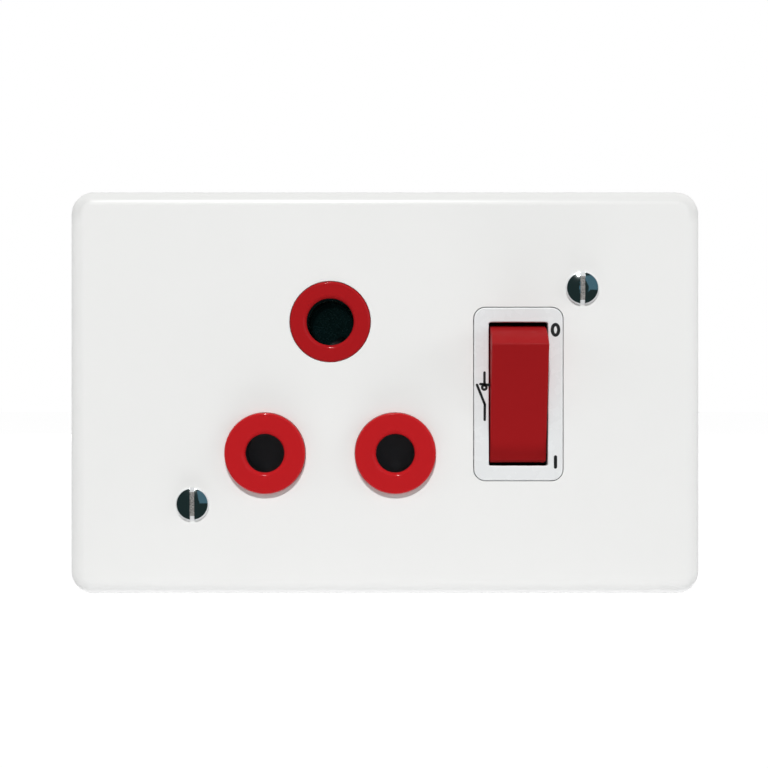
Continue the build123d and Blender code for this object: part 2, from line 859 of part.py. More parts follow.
def rocker():
    """The red rocker, hollow, with its stub axles and plunger barrel."""
    outer = side_slab(rocker_outline(rocker_r, rocker_face_h, rocker_skirt), rocker_w)
    crests = outer.edges().filter_by(Axis.X).group_by(Axis.Y)[0]
    outer = fillet(crests, rocker_crest_r)
    sides = outer.faces().filter_by(Axis.X)
    rims = ShapeList([e for f in sides for e in f.edges() if e.center().Y < pivot_y + rocker_skirt / 2])
    outer = fillet(rims, rocker_edge_r)
    inner_r = rocker_r - rocker_wall
    inner = side_slab(
        rocker_outline(inner_r, rocker_face_h - rocker_wall, rocker_skirt),
        rocker_w - 2 * rocker_wall,
    )
    foot = block(
        switch_x - rocker_w / 2 + rocker_wall, switch_x + rocker_w / 2 - rocker_wall,
        pivot_y, pivot_y + rocker_skirt, switch_z - inner_r + rocker_wall / 4,
        switch_z + inner_r - rocker_wall / 4,
    )
    body = outer - inner - foot
    face_back = pivot_y - rocker_face_h + rocker_sag + rocker_wall / 2
    body += rod(switch_x, switch_z, barrel_r, face_back, pivot_y + barrel_l)
    body += cross_bar(
        pivot_boss_r, switch_x - rocker_w / 2 + rocker_wall / 2,
        switch_x + rocker_w / 2 - rocker_wall / 2, pivot_y, switch_z,
    )
    body -= rod(
        switch_x, switch_z, barrel_bore_r, pivot_y - barrel_bore_out, pivot_y + barrel_l
    )
    stub = rocker_w / 2 + pivot_stub
    for side in (-1, 1):
        ends = sorted((switch_x + side * barrel_r, switch_x + side * stub))
        body += cross_bar(pivot_r, ends[0], ends[1], pivot_y, switch_z)
    return tilted(body, rocker_tilt, pivot_y, switch_z)


def plunger():
    """The nylon plunger that rides on the bridge."""
    ball_y = pivot_y + plunger_reach - plunger_r
    stem = rod(switch_x, switch_z, plunger_r, ball_y - plunger_l, ball_y)
    stem += Pos(switch_x, ball_y, switch_z) * Sphere(plunger_r)
    return tilted(stem, rocker_tilt, pivot_y, switch_z)


def plunger_spring():
    """The coil spring between the rocker and its plunger."""
    start = pivot_y - barrel_bore_out
    end = pivot_y + plunger_reach - plunger_r - plunger_l
    wire = coil(plunger_coil_r, plunger_wire_r, end - start, plunger_turns)
    placed = Pos(switch_x, start, switch_z) * Rot(-90, 0, 0) * wire
    return tilted(placed, rocker_tilt, pivot_y, switch_z)


def bridge_outline():
    """The bridge's side outline, a shallow vee, upright and outwards from the pivot."""
    top = pivot_y - bridge_top_y
    rise = bridge_half * math.tan(vee_rad)
    t = bridge_t / math.cos(vee_rad)
    points = [
        (0, top), (bridge_half, top + rise), (bridge_half, top + rise - t),
        (0, top - t), (-bridge_half, top + rise - t), (-bridge_half, top + rise),
    ]
    return make_face(Polyline(*points, close=True))


def contact_bridge():
    """The rocking copper bridge, on trunnions in the supply cradle."""
    bridge = side_slab(bridge_outline(), bridge_w)
    bridge += block(
        switch_x - bridge_w / 2, switch_x + bridge_w / 2,
        bridge_top_y + bridge_t / 2, bridge_y,
        switch_z - trunnion_r, switch_z + trunnion_r,
    )
    reach = bridge_w / 2 + trunnion_stub
    bridge += cross_bar(trunnion_r, switch_x - reach, switch_x + reach, bridge_y, switch_z)
    bridge = tilted(bridge, -bridge_tilt, bridge_y, switch_z)
    hole = tilted(
        rod(switch_x, tip_z, tip_shank_r + thread_gap, tip_y - 2 * bridge_t, tip_y + bridge_t),
        bridge_vee - bridge_tilt, tip_y, tip_z,
    )
    return bridge - hole


def moving_contact_tip():
    """The silver rivet on the bridge."""
    rivet = rod(switch_x, tip_z, tip_r, tip_y, tip_y + tip_t)
    rivet += rod(switch_x, tip_z, tip_shank_r, tip_y - bridge_t, tip_y)
    return tilted(rivet, bridge_vee - bridge_tilt, tip_y, tip_z)


def fixed_contact_tip():
    """The silver rivet on the load terminal."""
    rivet = rod(switch_x, load_z, tip_r, fixed_face_y, load_front)
    return rivet + rod(switch_x, load_z, tip_shank_r, load_front, load_front + tip_shank_l)


def load_terminal():
    """The brass block under the fixed contact, which the link meets."""
    half = terminal_w / 2
    brass = block(
        switch_x - half, switch_x + half, load_front, case_floor,
        load_z - load_block_l / 2, load_z + load_block_l / 2,
    )
    return brass - rod(
        switch_x, load_z, tip_shank_r + thread_gap, load_front, load_front + tip_shank_l
    )


def supply_terminal():
    """The brass cradle of the bridge, in one piece with its clamp block."""
    half = terminal_w / 2
    low = supply_z - supply_block_l / 2
    brass = clamp_block(
        switch_x, supply_z, terminal_w, supply_block_l, supply_front, case_floor,
        switch_wire_y, "x",
    )
    brass += block(
        switch_x - half, switch_x + half, case_floor - strip_t, case_floor,
        low + supply_block_l / 2 + terminal_head_r, switch_z + cradle_half,
    )
    inner = bridge_w / 2 + cradle_gap
    for side in (-1, 1):
        ends = sorted((switch_x + side * inner, switch_x + side * (inner + cradle_t)))
        brass += block(
            ends[0], ends[1], bridge_y - trunnion_r, case_floor,
            switch_z - cradle_half, switch_z + cradle_half,
        )
    reach = inner + cradle_t
    notch_r = trunnion_r + trunnion_gap
    brass -= cross_bar(notch_r, switch_x - reach, switch_x + reach, bridge_y, switch_z)
    return brass - block(
        switch_x - reach, switch_x + reach, bridge_y - 2 * notch_r, bridge_y,
        switch_z - notch_r, switch_z + notch_r,
    )


def build_all():
    """Every piece of the socket, by its name."""
    return {
        "cover_plate": cover_plate(),
        "cover_screws": cover_screws(),
        "mounting_yoke": mounting_yoke(),
        "socket_front": socket_front(),
        "rear_housing": rear_housing(),
        "contact_deck": contact_deck(),
        "shutter": shutter(),
        "shutter_spring": shutter_spring(),
        "line_contact": line_contact(),
        "neutral_contact": neutral_contact(),
        "earth_contact": earth_contact(),
        "line_clip": contact_clip(line_x, pins_z, pin_tube_r),
        "neutral_clip": contact_clip(neutral_x, pins_z, pin_tube_r),
        "earth_clip": contact_clip(earth_x, earth_z, earth_tube_r),
        "earth_strap": earth_strap(),
        "line_link": line_link(),
        "terminal_screws": terminal_screws(),
        "housing_screws": housing_screws(),
        "switch_bezel": switch_bezel(),
        "switch_screws": switch_screws(),
        "rocker": rocker(),
        "plunger": plunger(),
        "plunger_spring": plunger_spring(),
        "contact_bridge": contact_bridge(),
        "moving_contact_tip": moving_contact_tip(),
        "fixed_contact_tip": fixed_contact_tip(),
        "load_terminal": load_terminal(),
        "supply_terminal": supply_terminal(),
    }


os.makedirs("parts", exist_ok=True)
for name, shape in build_all().items():
    export_step(shape, f"parts/{name}.step")
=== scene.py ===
"""The looks of a switched wall socket for three round pins.

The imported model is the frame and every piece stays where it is. This script softens the
edges of the pieces, gives each its finish, and adds the screws' threads, the print on the
bezel, and a plain studio.
"""
import logging
import math
from dataclasses import dataclass, field
from enum import Enum
from typing import Self

import bmesh
import bpy
from mathutils import Matrix, Vector


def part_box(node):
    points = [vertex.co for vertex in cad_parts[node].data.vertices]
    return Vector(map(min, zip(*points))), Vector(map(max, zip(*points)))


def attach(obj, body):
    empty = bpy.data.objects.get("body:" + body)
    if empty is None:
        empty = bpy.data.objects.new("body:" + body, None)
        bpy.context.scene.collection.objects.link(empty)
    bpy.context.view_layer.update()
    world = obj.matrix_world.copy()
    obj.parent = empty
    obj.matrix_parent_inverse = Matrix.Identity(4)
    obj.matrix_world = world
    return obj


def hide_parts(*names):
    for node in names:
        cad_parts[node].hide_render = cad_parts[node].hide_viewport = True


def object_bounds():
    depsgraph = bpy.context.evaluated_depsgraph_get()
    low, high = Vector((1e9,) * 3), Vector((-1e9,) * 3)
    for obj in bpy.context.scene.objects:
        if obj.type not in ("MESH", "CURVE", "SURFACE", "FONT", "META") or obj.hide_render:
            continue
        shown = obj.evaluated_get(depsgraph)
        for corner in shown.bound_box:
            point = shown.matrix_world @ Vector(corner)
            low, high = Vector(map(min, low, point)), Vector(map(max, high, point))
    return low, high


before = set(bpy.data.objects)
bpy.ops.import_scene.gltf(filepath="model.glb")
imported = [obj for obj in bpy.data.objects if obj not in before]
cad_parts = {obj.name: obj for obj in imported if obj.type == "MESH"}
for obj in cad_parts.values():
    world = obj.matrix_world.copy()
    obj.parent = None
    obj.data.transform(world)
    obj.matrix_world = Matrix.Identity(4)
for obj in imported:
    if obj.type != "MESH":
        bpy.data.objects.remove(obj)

CAD_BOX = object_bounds()
MM = 0.001
MICRON = 0.000001
MERGE_GAP = 0.5 * MICRON
FLAT_ANGLE = math.radians(0.3)
NOISE_MIDDLE = (0.3, 0.7)
SMOOTH, SOFT, CLOUDY, RICH = 1.0, 2.0, 3.0, 4.0
EVEN = (1.0, 1.0, 1.0)
WHITE = (1.0, 1.0, 1.0, 1.0)
log = logging.getLogger("socket")

Pair = tuple[float, float]
Triple = tuple[float, float, float]
Shell = bmesh.types.BMesh
Socket = bpy.types.NodeSocket
Feeds = dict[str | int, object]


class Body(Enum):
    """The bodies that pieces ride on."""

    BASE = "base"
    ROCKER = "rocker"
    PLUNGER = "plunger"
    BRIDGE = "bridge"
    SHUTTER = "shutter"


class Slot(Enum):
    """The record's material slots."""

    ENAMEL = "white_enamel"
    NICKEL = "nickel_plate"
    ZINC = "zinc_steel"
    RED = "red_moulding"
    WHITE = "white_moulding"
    GREY = "grey_moulding"
    BLACK = "black_moulding"
    CREAM = "cream_moulding"
    NYLON = "nylon"
    BRASS = "contact_brass"
    COPPER = "copper_strip"
    SILVER = "silver_tip"
    SPRING = "spring_steel"


@dataclass
class Wiring:
    """A short way to put a tree of nodes together.

    Attributes:
        tree: the tree that the nodes go in.
    """

    tree: bpy.types.NodeTree

    @classmethod
    def afresh(cls, holder: bpy.types.Material | bpy.types.World) -> Self:
        """Start on an emptied tree of a material or a world.

        Args:
            holder: the material or the world.

        Returns:
            The wiring of its tree.
        """
        holder.use_nodes = True
        holder.node_tree.nodes.clear()
        return cls(holder.node_tree)

    def add(self, kind: str, inputs: Feeds | None = None, **settings: object) -> bpy.types.Node:
        """Add a node, set its properties and feed its inputs.

        Args:
            kind: what kind of node it is.
            inputs: what each input takes, by the input's name or number.
            settings: the node's own properties.

        Returns:
            The node.
        """
        node = self.tree.nodes.new(kind)
        for name, value in settings.items():
            setattr(node, name, value)
        for key, value in (inputs or {}).items():
            self.feed(node, key, value)
        return node

    def out(self, kind: str, inputs: Feeds | None = None, **settings: object) -> Socket:
        """Add a node and give its first output."""
        return self.add(kind, inputs, **settings).outputs[0]

    def feed(self, node: bpy.types.Node, key: str | int, value: object) -> None:
        """Link an output to an input, or set the input's value.

        Args:
            node: the node that is fed.
            key: the input's name or number.
            value: another node's output, or a plain value.
        """
        if isinstance(value, Socket):
            self.tree.links.new(value, node.inputs[key])
        else:
            node.inputs[key].default_value = value

    def reckon(self, operation: str, *values: Socket | float) -> Socket:
        """The result of a sum with outputs or plain values."""
        return self.out("ShaderNodeMath", dict(enumerate(values)), operation=operation)

    def end_mixed(self, kind: str, share: Socket, first: Socket, second: Socket) -> None:
        """End the tree in a mix of two shaders.

        Args:
            kind: the kind of the tree's output node.
            share: the share of the second shader.
            first: the first shader.
            second: the second shader.
        """
        self.add(kind, {"Surface": self.out("ShaderNodeMixShader", {0: share, 1: first, 2: second})})


@dataclass
class NodeBench(Wiring):
    """The nodes of one finish, round its shader.

    Attributes:
        shader: the shader that the finish ends in.
        place: the output that gives a point's place in the frame.
    """

    shader: bpy.types.Node = field(init=False)
    place: Socket = field(init=False)

    def __post_init__(self) -> None:
        """Add the shader, the output and the coordinates."""
        self.shader = self.add("ShaderNodeBsdfPrincipled")
        self.add("ShaderNodeOutputMaterial", {"Surface": self.shader.outputs["BSDF"]})
        self.place = self.add("ShaderNodeTexCoord").outputs["Object"]

    def give(self, name: str, value: Socket | float) -> None:
        """Feed one of the shader's inputs."""
        self.feed(self.shader, name, value)

    def along(self, axis: str) -> Socket:
        """How far a point lies along an axis of the frame."""
        return self.add("ShaderNodeSeparateXYZ", {"Vector": self.place}).outputs[axis]

    def noise(self, grain: float, detail: float = SOFT, stretch: Triple = EVEN) -> Socket:
        """Add a noise whose features are about one grain across.

        Args:
            grain: the size of a feature in metres.
            detail: how many finer layers it has.
            stretch: how much longer features are along each axis.

        Returns:
            The noise's value.
        """
        scale = tuple(1.0 / (grain * s) for s in stretch)
        place = self.out("ShaderNodeMapping", {"Vector": self.place, "Scale": scale})
        return self.out("ShaderNodeTexNoise", {"Vector": place, "Scale": 1.0, "Detail": detail})

    def mapped(self, value: Socket, given: Pair, wanted: Pair = (0.0, 1.0)) -> Socket:
        """Map a value from one range onto another, and hold it there.

        Args:
            value: the value.
            given: the two values that give the ends of the new range.
            wanted: the new range.

        Returns:
            The mapped value.
        """
        inputs = {"Value": value, "From Min": given[0], "From Max": given[1]}
        inputs.update({"To Min": wanted[0], "To Max": wanted[1]})
        return self.out("ShaderNodeMapRange", inputs)

    def spread(self, noise: Socket, low: float, high: float) -> Socket:
        """Map a noise's middle values onto a range."""
        return self.mapped(noise, NOISE_MIDDLE, (low, high))

    def blend(self, factor: Socket, first: Triple | Socket, second: Triple | Socket) -> Socket:
        """Mix two colours by a factor.

        Args:
            factor: the factor.
            first: the colour at factor 0.
            second: the colour at factor 1.

        Returns:
            The mixed colour.
        """
        mix = self.add("ShaderNodeMix", {0: factor}, data_type="RGBA")
        for number, colour in ((6, first), (7, second)):
            self.feed(mix, number, colour if isinstance(colour, Socket) else (*colour, 1.0))
        return mix.outputs[2]

    def bump(self, value: Socket, height: float, strength: float) -> None:
        """Raise the surface by a value.

        Args:
            value: the value that gives the height.
            height: the full height in metres.
            strength: the share of the effect.
        """
        inputs = {"Height": value, "Strength": strength, "Distance": height}
        self.give("Normal", self.out("ShaderNodeBump", inputs))


@dataclass(frozen=True)
class Finish:
    """What every finish has.

    Attributes:
        name: the material's name.
        colour: the middle colour, linear.
        roughness: the middle roughness.
        relief: how strongly the dimples, the grain or the marks show.
    """

    name: str
    colour: Triple
    roughness: float
    relief: float = 0.6

    def shade(self, factor: float) -> Triple:
        """The colour made lighter or darker by a factor."""
        return tuple(min(1.0, c * factor) for c in self.colour)

    def build(self) -> bpy.types.Material:
        """Build the material once and give it again when it is asked for.

        Returns:
            The material.
        """
        found = bpy.data.materials.get(self.name)
        if found is None:
            found = bpy.data.materials.new(self.name)
            self.lay(NodeBench.afresh(found))
        return found

    def lay(self, bench: NodeBench) -> None:
        """Put the finish's nodes on the bench."""
        raise NotImplementedError


@dataclass(frozen=True)
class PowderCoat(Finish):
    """Gloss powder coat with its faint orange peel.

    Attributes:
        cloud: the size of the patches of tone in metres.
        tones: how dark and how light they get, as shares of the colour.
        gloss: the specular level of the surface.
        wear_patch: the size of the patches of roughness in metres.
        wear: how far the roughness goes below and above the middle one.
        peel: the size of one dimple of the peel in metres.
        peel_height: how deep the dimples are in metres.
        top_edge_shade: how much of the tone is left on the top rolled edge, as painted shade.
        top_edge_shade_depths: the depths between which the painted shade comes in.
        top_edge_shade_heights: the heights between which the painted shade comes in.
    """

    cloud: float = 24 * MM
    tones: Pair = (0.985, 1.01)
    gloss: float = 0.22
    wear_patch: float = 6 * MM
    wear: Pair = (-0.015, 0.02)
    peel: float = 1.1 * MM
    peel_height: float = 1.5 * MICRON
    top_edge_shade: float = 0.86
    top_edge_shade_depths: Pair = (-6.98 * MM, -6.78 * MM)
    top_edge_shade_heights: Pair = (33 * MM, 37 * MM)

    def lay(self, bench: NodeBench) -> None:
        """Lay a peeled gloss over a near white with slow tones and painted shade on the top edge.

        Args:
            bench: the material's bench.
        """
        dark, light = map(self.shade, self.tones)
        body = bench.blend(bench.noise(self.cloud, CLOUDY), dark, light)
        # painted shade: the top rolled edge, front and back, is darkened to dim the light it catches
        deep = bench.mapped(bench.along("Y"), self.top_edge_shade_depths)
        high = bench.mapped(bench.along("Z"), self.top_edge_shade_heights)
        share = bench.reckon("MULTIPLY", deep, high)
        bench.give("Base Color", bench.blend(share, body, self.shade(self.top_edge_shade)))
        least, most = (self.roughness + change for change in self.wear)
        bench.give("Roughness", bench.spread(bench.noise(self.wear_patch), least, most))
        bench.give("Specular IOR Level", self.gloss)
        bench.bump(bench.noise(self.peel, SMOOTH), self.peel_height, self.relief)


@dataclass(frozen=True)
class Moulded(Finish):
    """Moulded plastic, gloss or spark-eroded.

    Attributes:
        grain: the size of the surface's grain in metres.
        grain_height: how deep the grain is in metres.
        cloud: the size of the patches of tone in metres.
        clouding: how far the colour wanders from the middle one.
        gloss: the specular level of the surface.
        wear_patch: the size of the patches of roughness in metres.
        wear: the least and the most roughness, as shares of the middle one.
        relief: how strongly the grain shows.
    """

    grain: float = 0.35 * MM
    grain_height: float = 1.5 * MICRON
    cloud: float = 5 * MM
    clouding: float = 0.04
    gloss: float = 0.5
    wear_patch: float = 2 * MM
    wear: Pair = (0.85, 1.2)
    relief: float = 0.7

    def tint(self, bench: NodeBench) -> Socket:
        """Cloud the colour.

        Args:
            bench: the material's bench.

        Returns:
            The colour.
        """
        dark, light = self.shade(1 - self.clouding), self.shade(1 + self.clouding)
        return bench.blend(bench.noise(self.cloud, CLOUDY), dark, light)

    def lay(self, bench: NodeBench) -> None:
        """Lay the colour, an uneven gloss and a fine grain.

        Args:
            bench: the material's bench.
        """
        bench.give("Base Color", self.tint(bench))
        least, most = (self.roughness * share for share in self.wear)
        bench.give("Roughness", bench.spread(bench.noise(self.wear_patch, RICH), least, most))
        bench.give("Specular IOR Level", self.gloss)
        bench.bump(bench.noise(self.grain), self.grain_height, self.relief)


@dataclass(frozen=True)
class TwoShotAndShade(Moulded):
    """A moulding of one colour that deepens toward the top and turns dark inside, in part as painted
    shade.

    Attributes:
        clouding: none, since the colour is even.
        inside: the dark colour inside, linear: a black inner moulding that also paints the shade in
            the bores.
        inside_from: the depth where the dark colour takes over.
        fade: how far it takes to do so.
        deep: how much of the colour is left at the top of the piece, which on the shutter is painted
            shade.
        shades: the heights where the colour is at its lightest and at its deepest.
    """

    clouding: float = 0.0
    inside: Triple = (0.006, 0.010, 0.010)
    inside_from: float = -6.65 * MM
    fade: float = 0.3 * MM
    deep: float = 0.785
    shades: Pair = (-4.0 * MM, 6.0 * MM)

    def tint(self, bench: NodeBench) -> Socket:
        """Deepen the colour with height, and turn it dark inside, both in part as painted shade.

        Args:
            bench: the material's bench.

        Returns:
            The colour.
        """
        # the colour deepens toward the top: on the shutter this is painted shade on its nose in the
        # earth hole; on the collars it leaves the earth collar darker
        rise = bench.mapped(bench.along("Z"), self.shades)
        outside = bench.blend(rise, super().tint(bench), self.shade(self.deep))
        # dark inside: a black inner moulding, and painted shade in the collars' bores
        depth = bench.mapped(bench.along("Y"), (self.inside_from, self.inside_from + self.fade))
        return bench.blend(depth, outside, self.inside)


@dataclass(frozen=True)
class Metal(Finish):
    """Plated, rolled or bare metal.

    Attributes:
        grain: the size of the surface's marks in metres.
        grain_height: how deep the marks are in metres.
        stretch: how much longer the marks are along each axis.
        stain: the colour that the metal turns to in patches, linear.
        stain_patch: the size of those patches in metres.
        stain_share: how far it turns to that colour.
        wear: the least and the most roughness, as shares of the middle one.
    """

    grain: float = 0.3 * MM
    grain_height: float = 1 * MICRON
    stretch: Triple = EVEN
    stain: Triple = (0.5, 0.5, 0.5)
    stain_patch: float = 3 * MM
    stain_share: float = 0.5
    wear: Pair = (0.75, 1.35)

    def lay(self, bench: NodeBench) -> None:
        """Lay a metal that is stained in patches and marked along its grain.

        Args:
            bench: the material's bench.
        """
        patches = bench.spread(bench.noise(self.stain_patch, RICH), 0.0, self.stain_share)
        bench.give("Base Color", bench.blend(patches, self.colour, self.stain))
        marks = bench.noise(self.grain, CLOUDY, self.stretch)
        least, most = (self.roughness * share for share in self.wear)
        bench.give("Roughness", bench.spread(marks, least, most))
        bench.give("Metallic", 1.0)
        bench.bump(marks, self.grain_height, self.relief)


@dataclass(frozen=True)
class HeadMetal(Finish):
    """Bright plating on a domed head, matt in the slot and on the rim, with a painted reflection of
    the white plate on the rim and the slot's ends.

    Attributes:
        grain: the size of the surface's marks in metres.
        grain_height: how deep the marks are in metres.
        matt: the colour of the slot's floor, linear.
        fleck: the size of the flecks on the floor in metres.
        fleck_tones: how dark and how light they are, as shares of its colour.
        pale: a painted reflection of the white plate, on the rim and the slot's ends, linear.
        matt_roughness: their roughness.
        matt_from: the depth where the matt parts begin.
        matt_to: the depth where they end.
        edge: how far it takes to go from bright to matt.
        floor: the depth of the slot's floor.
        floor_slack: how far from that depth still is the floor.
    """

    grain: float = 0.3 * MM
    grain_height: float = 1 * MICRON
    matt: Triple = (0.27, 0.26, 0.25)
    fleck: float = 0.28 * MM
    fleck_tones: Pair = (0.45, 1.7)
    pale: Triple = (0.72, 0.73, 0.74)
    matt_roughness: float = 0.5
    matt_from: float = -7.53 * MM
    matt_to: float = -6.95 * MM
    edge: float = 0.05 * MM
    floor: float = -7.30 * MM
    floor_slack: float = 0.03 * MM

    def lay(self, bench: NodeBench) -> None:
        """Lay a bright metal whose slot and rim are matt, with a painted reflection on the rim and
        the slot's ends.

        Args:
            bench: the material's bench.
        """
        depth = bench.along("Y")
        begun = bench.mapped(depth, (self.matt_from, self.matt_from + self.edge))
        not_over = bench.mapped(depth, (self.matt_to, self.matt_to - self.edge))
        share = bench.reckon("MULTIPLY", begun, not_over)
        dark, light = (tuple(c * tone for c in self.matt) for tone in self.fleck_tones)
        flecks = bench.blend(bench.spread(bench.noise(self.fleck), 0.0, 1.0), dark, light)
        on_floor = bench.reckon("COMPARE", depth, self.floor, self.floor_slack)
        # painted reflection: off the slot's floor the matt parts, the rim's round and the slot's
        # ends, turn pale like the white plate round them
        flecks_and_painted_reflection = bench.blend(on_floor, self.pale, flecks)
        bench.give("Base Color", bench.blend(share, self.colour, flecks_and_painted_reflection))
        bench.give("Metallic", bench.mapped(share, (0.0, 1.0), (1.0, 0.0)))
        gloss = bench.mapped(share, (0.0, 1.0), (self.roughness, self.matt_roughness))
        bench.give("Roughness", gloss)
        bench.bump(bench.noise(self.grain, CLOUDY), self.grain_height, self.relief)


ENAMEL = PowderCoat("enamel_white", (0.85, 0.853, 0.843), 0.30)
BEZEL_WHITE = Moulded("bezel_white", (0.79, 0.805, 0.81), 0.26, clouding=0.002, gloss=0.35)
# The collars turn dark deeper than their faces: a black inner moulding that also paints the shade in
# their bores.
COLLAR_RED = TwoShotAndShade("collar_red", (0.50, 0.0125, 0.016), 0.055)
ROCKER_RED = Moulded("rocker_red", (0.315, 0.0085, 0.0105), 0.50, clouding=0.02, gloss=0.08)
# The shutter turns near black above 1 to 4 mm: painted shade on its nose, deep in the earth hole.
SHUTTER_GREY = TwoShotAndShade(
    "shutter_grey", (0.160, 0.172, 0.198), 0.45, grain=0.2 * MM,
    inside_from=50 * MM, deep=0.04, shades=(1 * MM, 4 * MM),
)
HOUSING_BLACK = Moulded(
    "housing_black", (0.022, 0.022, 0.024), 0.42, grain=0.25 * MM, grain_height=6 * MICRON
)
DECK_CREAM = Moulded("deck_cream", (0.66, 0.61, 0.50), 0.45)
NYLON = Moulded("plunger_nylon", (0.72, 0.70, 0.63), 0.35)
NICKEL = HeadMetal("nickel_bright", (0.60, 0.64, 0.63), 0.09)
ZINC = Metal(
    "zinc_plate", (0.63, 0.65, 0.68), 0.30, grain=0.15 * MM, stretch=(12.0, 1.0, 1.0),
    stain=(0.52, 0.55, 0.58),
)
ZINC_SCREW = Metal("zinc_screw", (0.60, 0.61, 0.63), 0.24, stain=(0.55, 0.52, 0.40))
BRASS = Metal("brass_bare", (0.74, 0.56, 0.27), 0.24, stain=(0.52, 0.36, 0.16))
DARK_NICKEL = Metal("nickel_dark", (0.20, 0.34, 0.33), 0.30, stain=(0.14, 0.25, 0.24))
COPPER = Metal("copper_bare", (0.80, 0.46, 0.32), 0.26, stain=(0.50, 0.24, 0.15))
SILVER = Metal("silver_face", (0.86, 0.85, 0.82), 0.20, stain=(0.62, 0.58, 0.50))
SPRING = Metal("spring_blued", (0.34, 0.35, 0.38), 0.25, stain=(0.25, 0.24, 0.25))
INK = Moulded("print_black", (0.006, 0.006, 0.007), 0.5, grain=0.1 * MM)


def settle(piece: bpy.types.Object, body: Body, slot: Slot, *nodes: str) -> None:
    """Hang a piece on the body that it rides on, and hide the nodes that it stands for.

    Args:
        piece: the finished piece.
        body: the body that it moves with.
        slot: the record's material slot for it, which is not used.
        nodes: the nodes that it stands for.
    """
    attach(piece, body.value)
    if nodes:
        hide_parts(*nodes)
    log.info("%s rides on %s, %d faces", piece.name, body.value, len(piece.data.polygons))


def new_piece(name: str, mesh: bpy.types.Mesh) -> bpy.types.Object:
    """Put a mesh in the scene as a piece that sits at the origin.

    Args:
        name: the piece's name.
        mesh: its mesh.

    Returns:
        The piece.
    """
    piece = bpy.data.objects.new(name, mesh)
    bpy.context.scene.collection.objects.link(piece)
    return piece


def closed_mesh(shell: Shell, name: str) -> bpy.types.Mesh:
    """Turn a working shell into a mesh and let the shell go.

    Args:
        shell: the shell.
        name: the mesh's name.

    Returns:
        The mesh.
    """
    mesh = bpy.data.meshes.new(name)
    shell.to_mesh(mesh)
    shell.free()
    return mesh


def merged_mesh(node: str) -> bpy.types.Mesh:
    """Copy a node's mesh and join its loose triangles into flat faces.

    Args:
        node: the node's name.

    Returns:
        The joined copy.
    """
    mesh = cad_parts[node].data.copy()
    shell = bmesh.new()
    shell.from_mesh(mesh)
    bmesh.ops.remove_doubles(shell, verts=shell.verts, dist=MERGE_GAP)
    bmesh.ops.dissolve_limit(shell, angle_limit=FLAT_ANGLE, verts=shell.verts, edges=shell.edges)
    shell.to_mesh(mesh)
    shell.free()
    if "custom_normal" in mesh.attributes:
        mesh.attributes.remove(mesh.attributes["custom_normal"])
    return mesh


def flatten(piece: bpy.types.Object) -> bpy.types.Object:
    """Turn a piece's live modifiers into plain mesh.

    Args:
        piece: the piece with its modifiers.

    Returns:
        The same piece with the result as its mesh and no modifiers.
    """
    bpy.context.view_layer.update()
    graph = bpy.context.evaluated_depsgraph_get()
    live = piece.evaluated_get(graph)
    mesh = bpy.data.meshes.new_from_object(live, preserve_all_data_layers=True, depsgraph=graph)
    mesh.name = piece.name
    piece.modifiers.clear()
    piece.data = mesh
    return piece


@dataclass(frozen=True)
class SoftEdges:
    """Rounds the sharp edges of a piece as a mould or a polish does.

    Attributes:
        radius: how far the rounding reaches, in metres.
        steps: how many faces make up the round.
        least_angle: edges flatter than this stay as they are.
        flat_weight: how much more the flat faces count for the normals.
    """

    radius: float = 0.12 * MM
    steps: int = 2
    least_angle: float = math.radians(32)
    flat_weight: int = 90

    def apply(self, piece: bpy.types.Object) -> bpy.types.Object:
        """Round the edges and settle the normals.

        Args:
            piece: the piece, with merged vertices.

        Returns:
            The same piece as plain mesh.
        """
        piece.data.shade_smooth()
        piece.data.set_sharp_from_angle(angle=self.least_angle)
        bevel = piece.modifiers.new("edges", "BEVEL")
        bevel.width = self.radius
        bevel.segments = self.steps
        bevel.limit_method = "ANGLE"
        bevel.angle_limit = self.least_angle
        bevel.use_clamp_overlap = True
        bevel.miter_outer = "MITER_ARC"
        normals = piece.modifiers.new("normals", "WEIGHTED_NORMAL")
        normals.mode = "FACE_AREA_WITH_ANGLE"
        normals.weight = self.flat_weight
        normals.keep_sharp = False
        return flatten(piece)


@dataclass
class RoundRect:
    """An outline in X and Z: a rectangle with round corners.

    Attributes:
        half_w: half of its width.
        half_h: half of its height.
        corner_r: the radius of its corners.
    """

    half_w: float
    half_h: float
    corner_r: float

    def inward(self, x: float, z: float) -> Triple:
        """Find how far a point is inside the outline, and which way is out.

        Args:
            x: the point's X.
            z: the point's Z.

        Returns:
            The distance inward, and the X and Z of the direction outward.
        """
        over_x = abs(x) - (self.half_w - self.corner_r)
        over_z = abs(z) - (self.half_h - self.corner_r)
        side_x, side_z = math.copysign(1, x), math.copysign(1, z)
        if over_x > 0 and over_z > 0:
            reach = math.hypot(over_x, over_z)
            return self.corner_r - reach, side_x * over_x / reach, side_z * over_z / reach
        if over_x > over_z:
            return self.corner_r - over_x, side_x, 0.0
        return self.corner_r - over_z, 0.0, side_z


@dataclass
class Ring:
    """A round outline in X and Z, with the piece inside or outside of it.

    Attributes:
        x: its middle's X.
        z: its middle's Z.
        radius: its radius.
        hole: whether the piece lies outside of it.
    """

    x: float
    z: float
    radius: float
    hole: bool = False

    def inward(self, x: float, z: float) -> Triple:
        """Find how far a point is within the piece, and which way is out of it.

        Args:
            x: the point's X.
            z: the point's Z.

        Returns:
            The distance inward, and the X and Z of the direction outward.
        """
        dx, dz = x - self.x, z - self.z
        reach = math.hypot(dx, dz) or 1.0
        side = -1 if self.hole else 1
        return side * (self.radius - reach), side * dx / reach, side * dz / reach


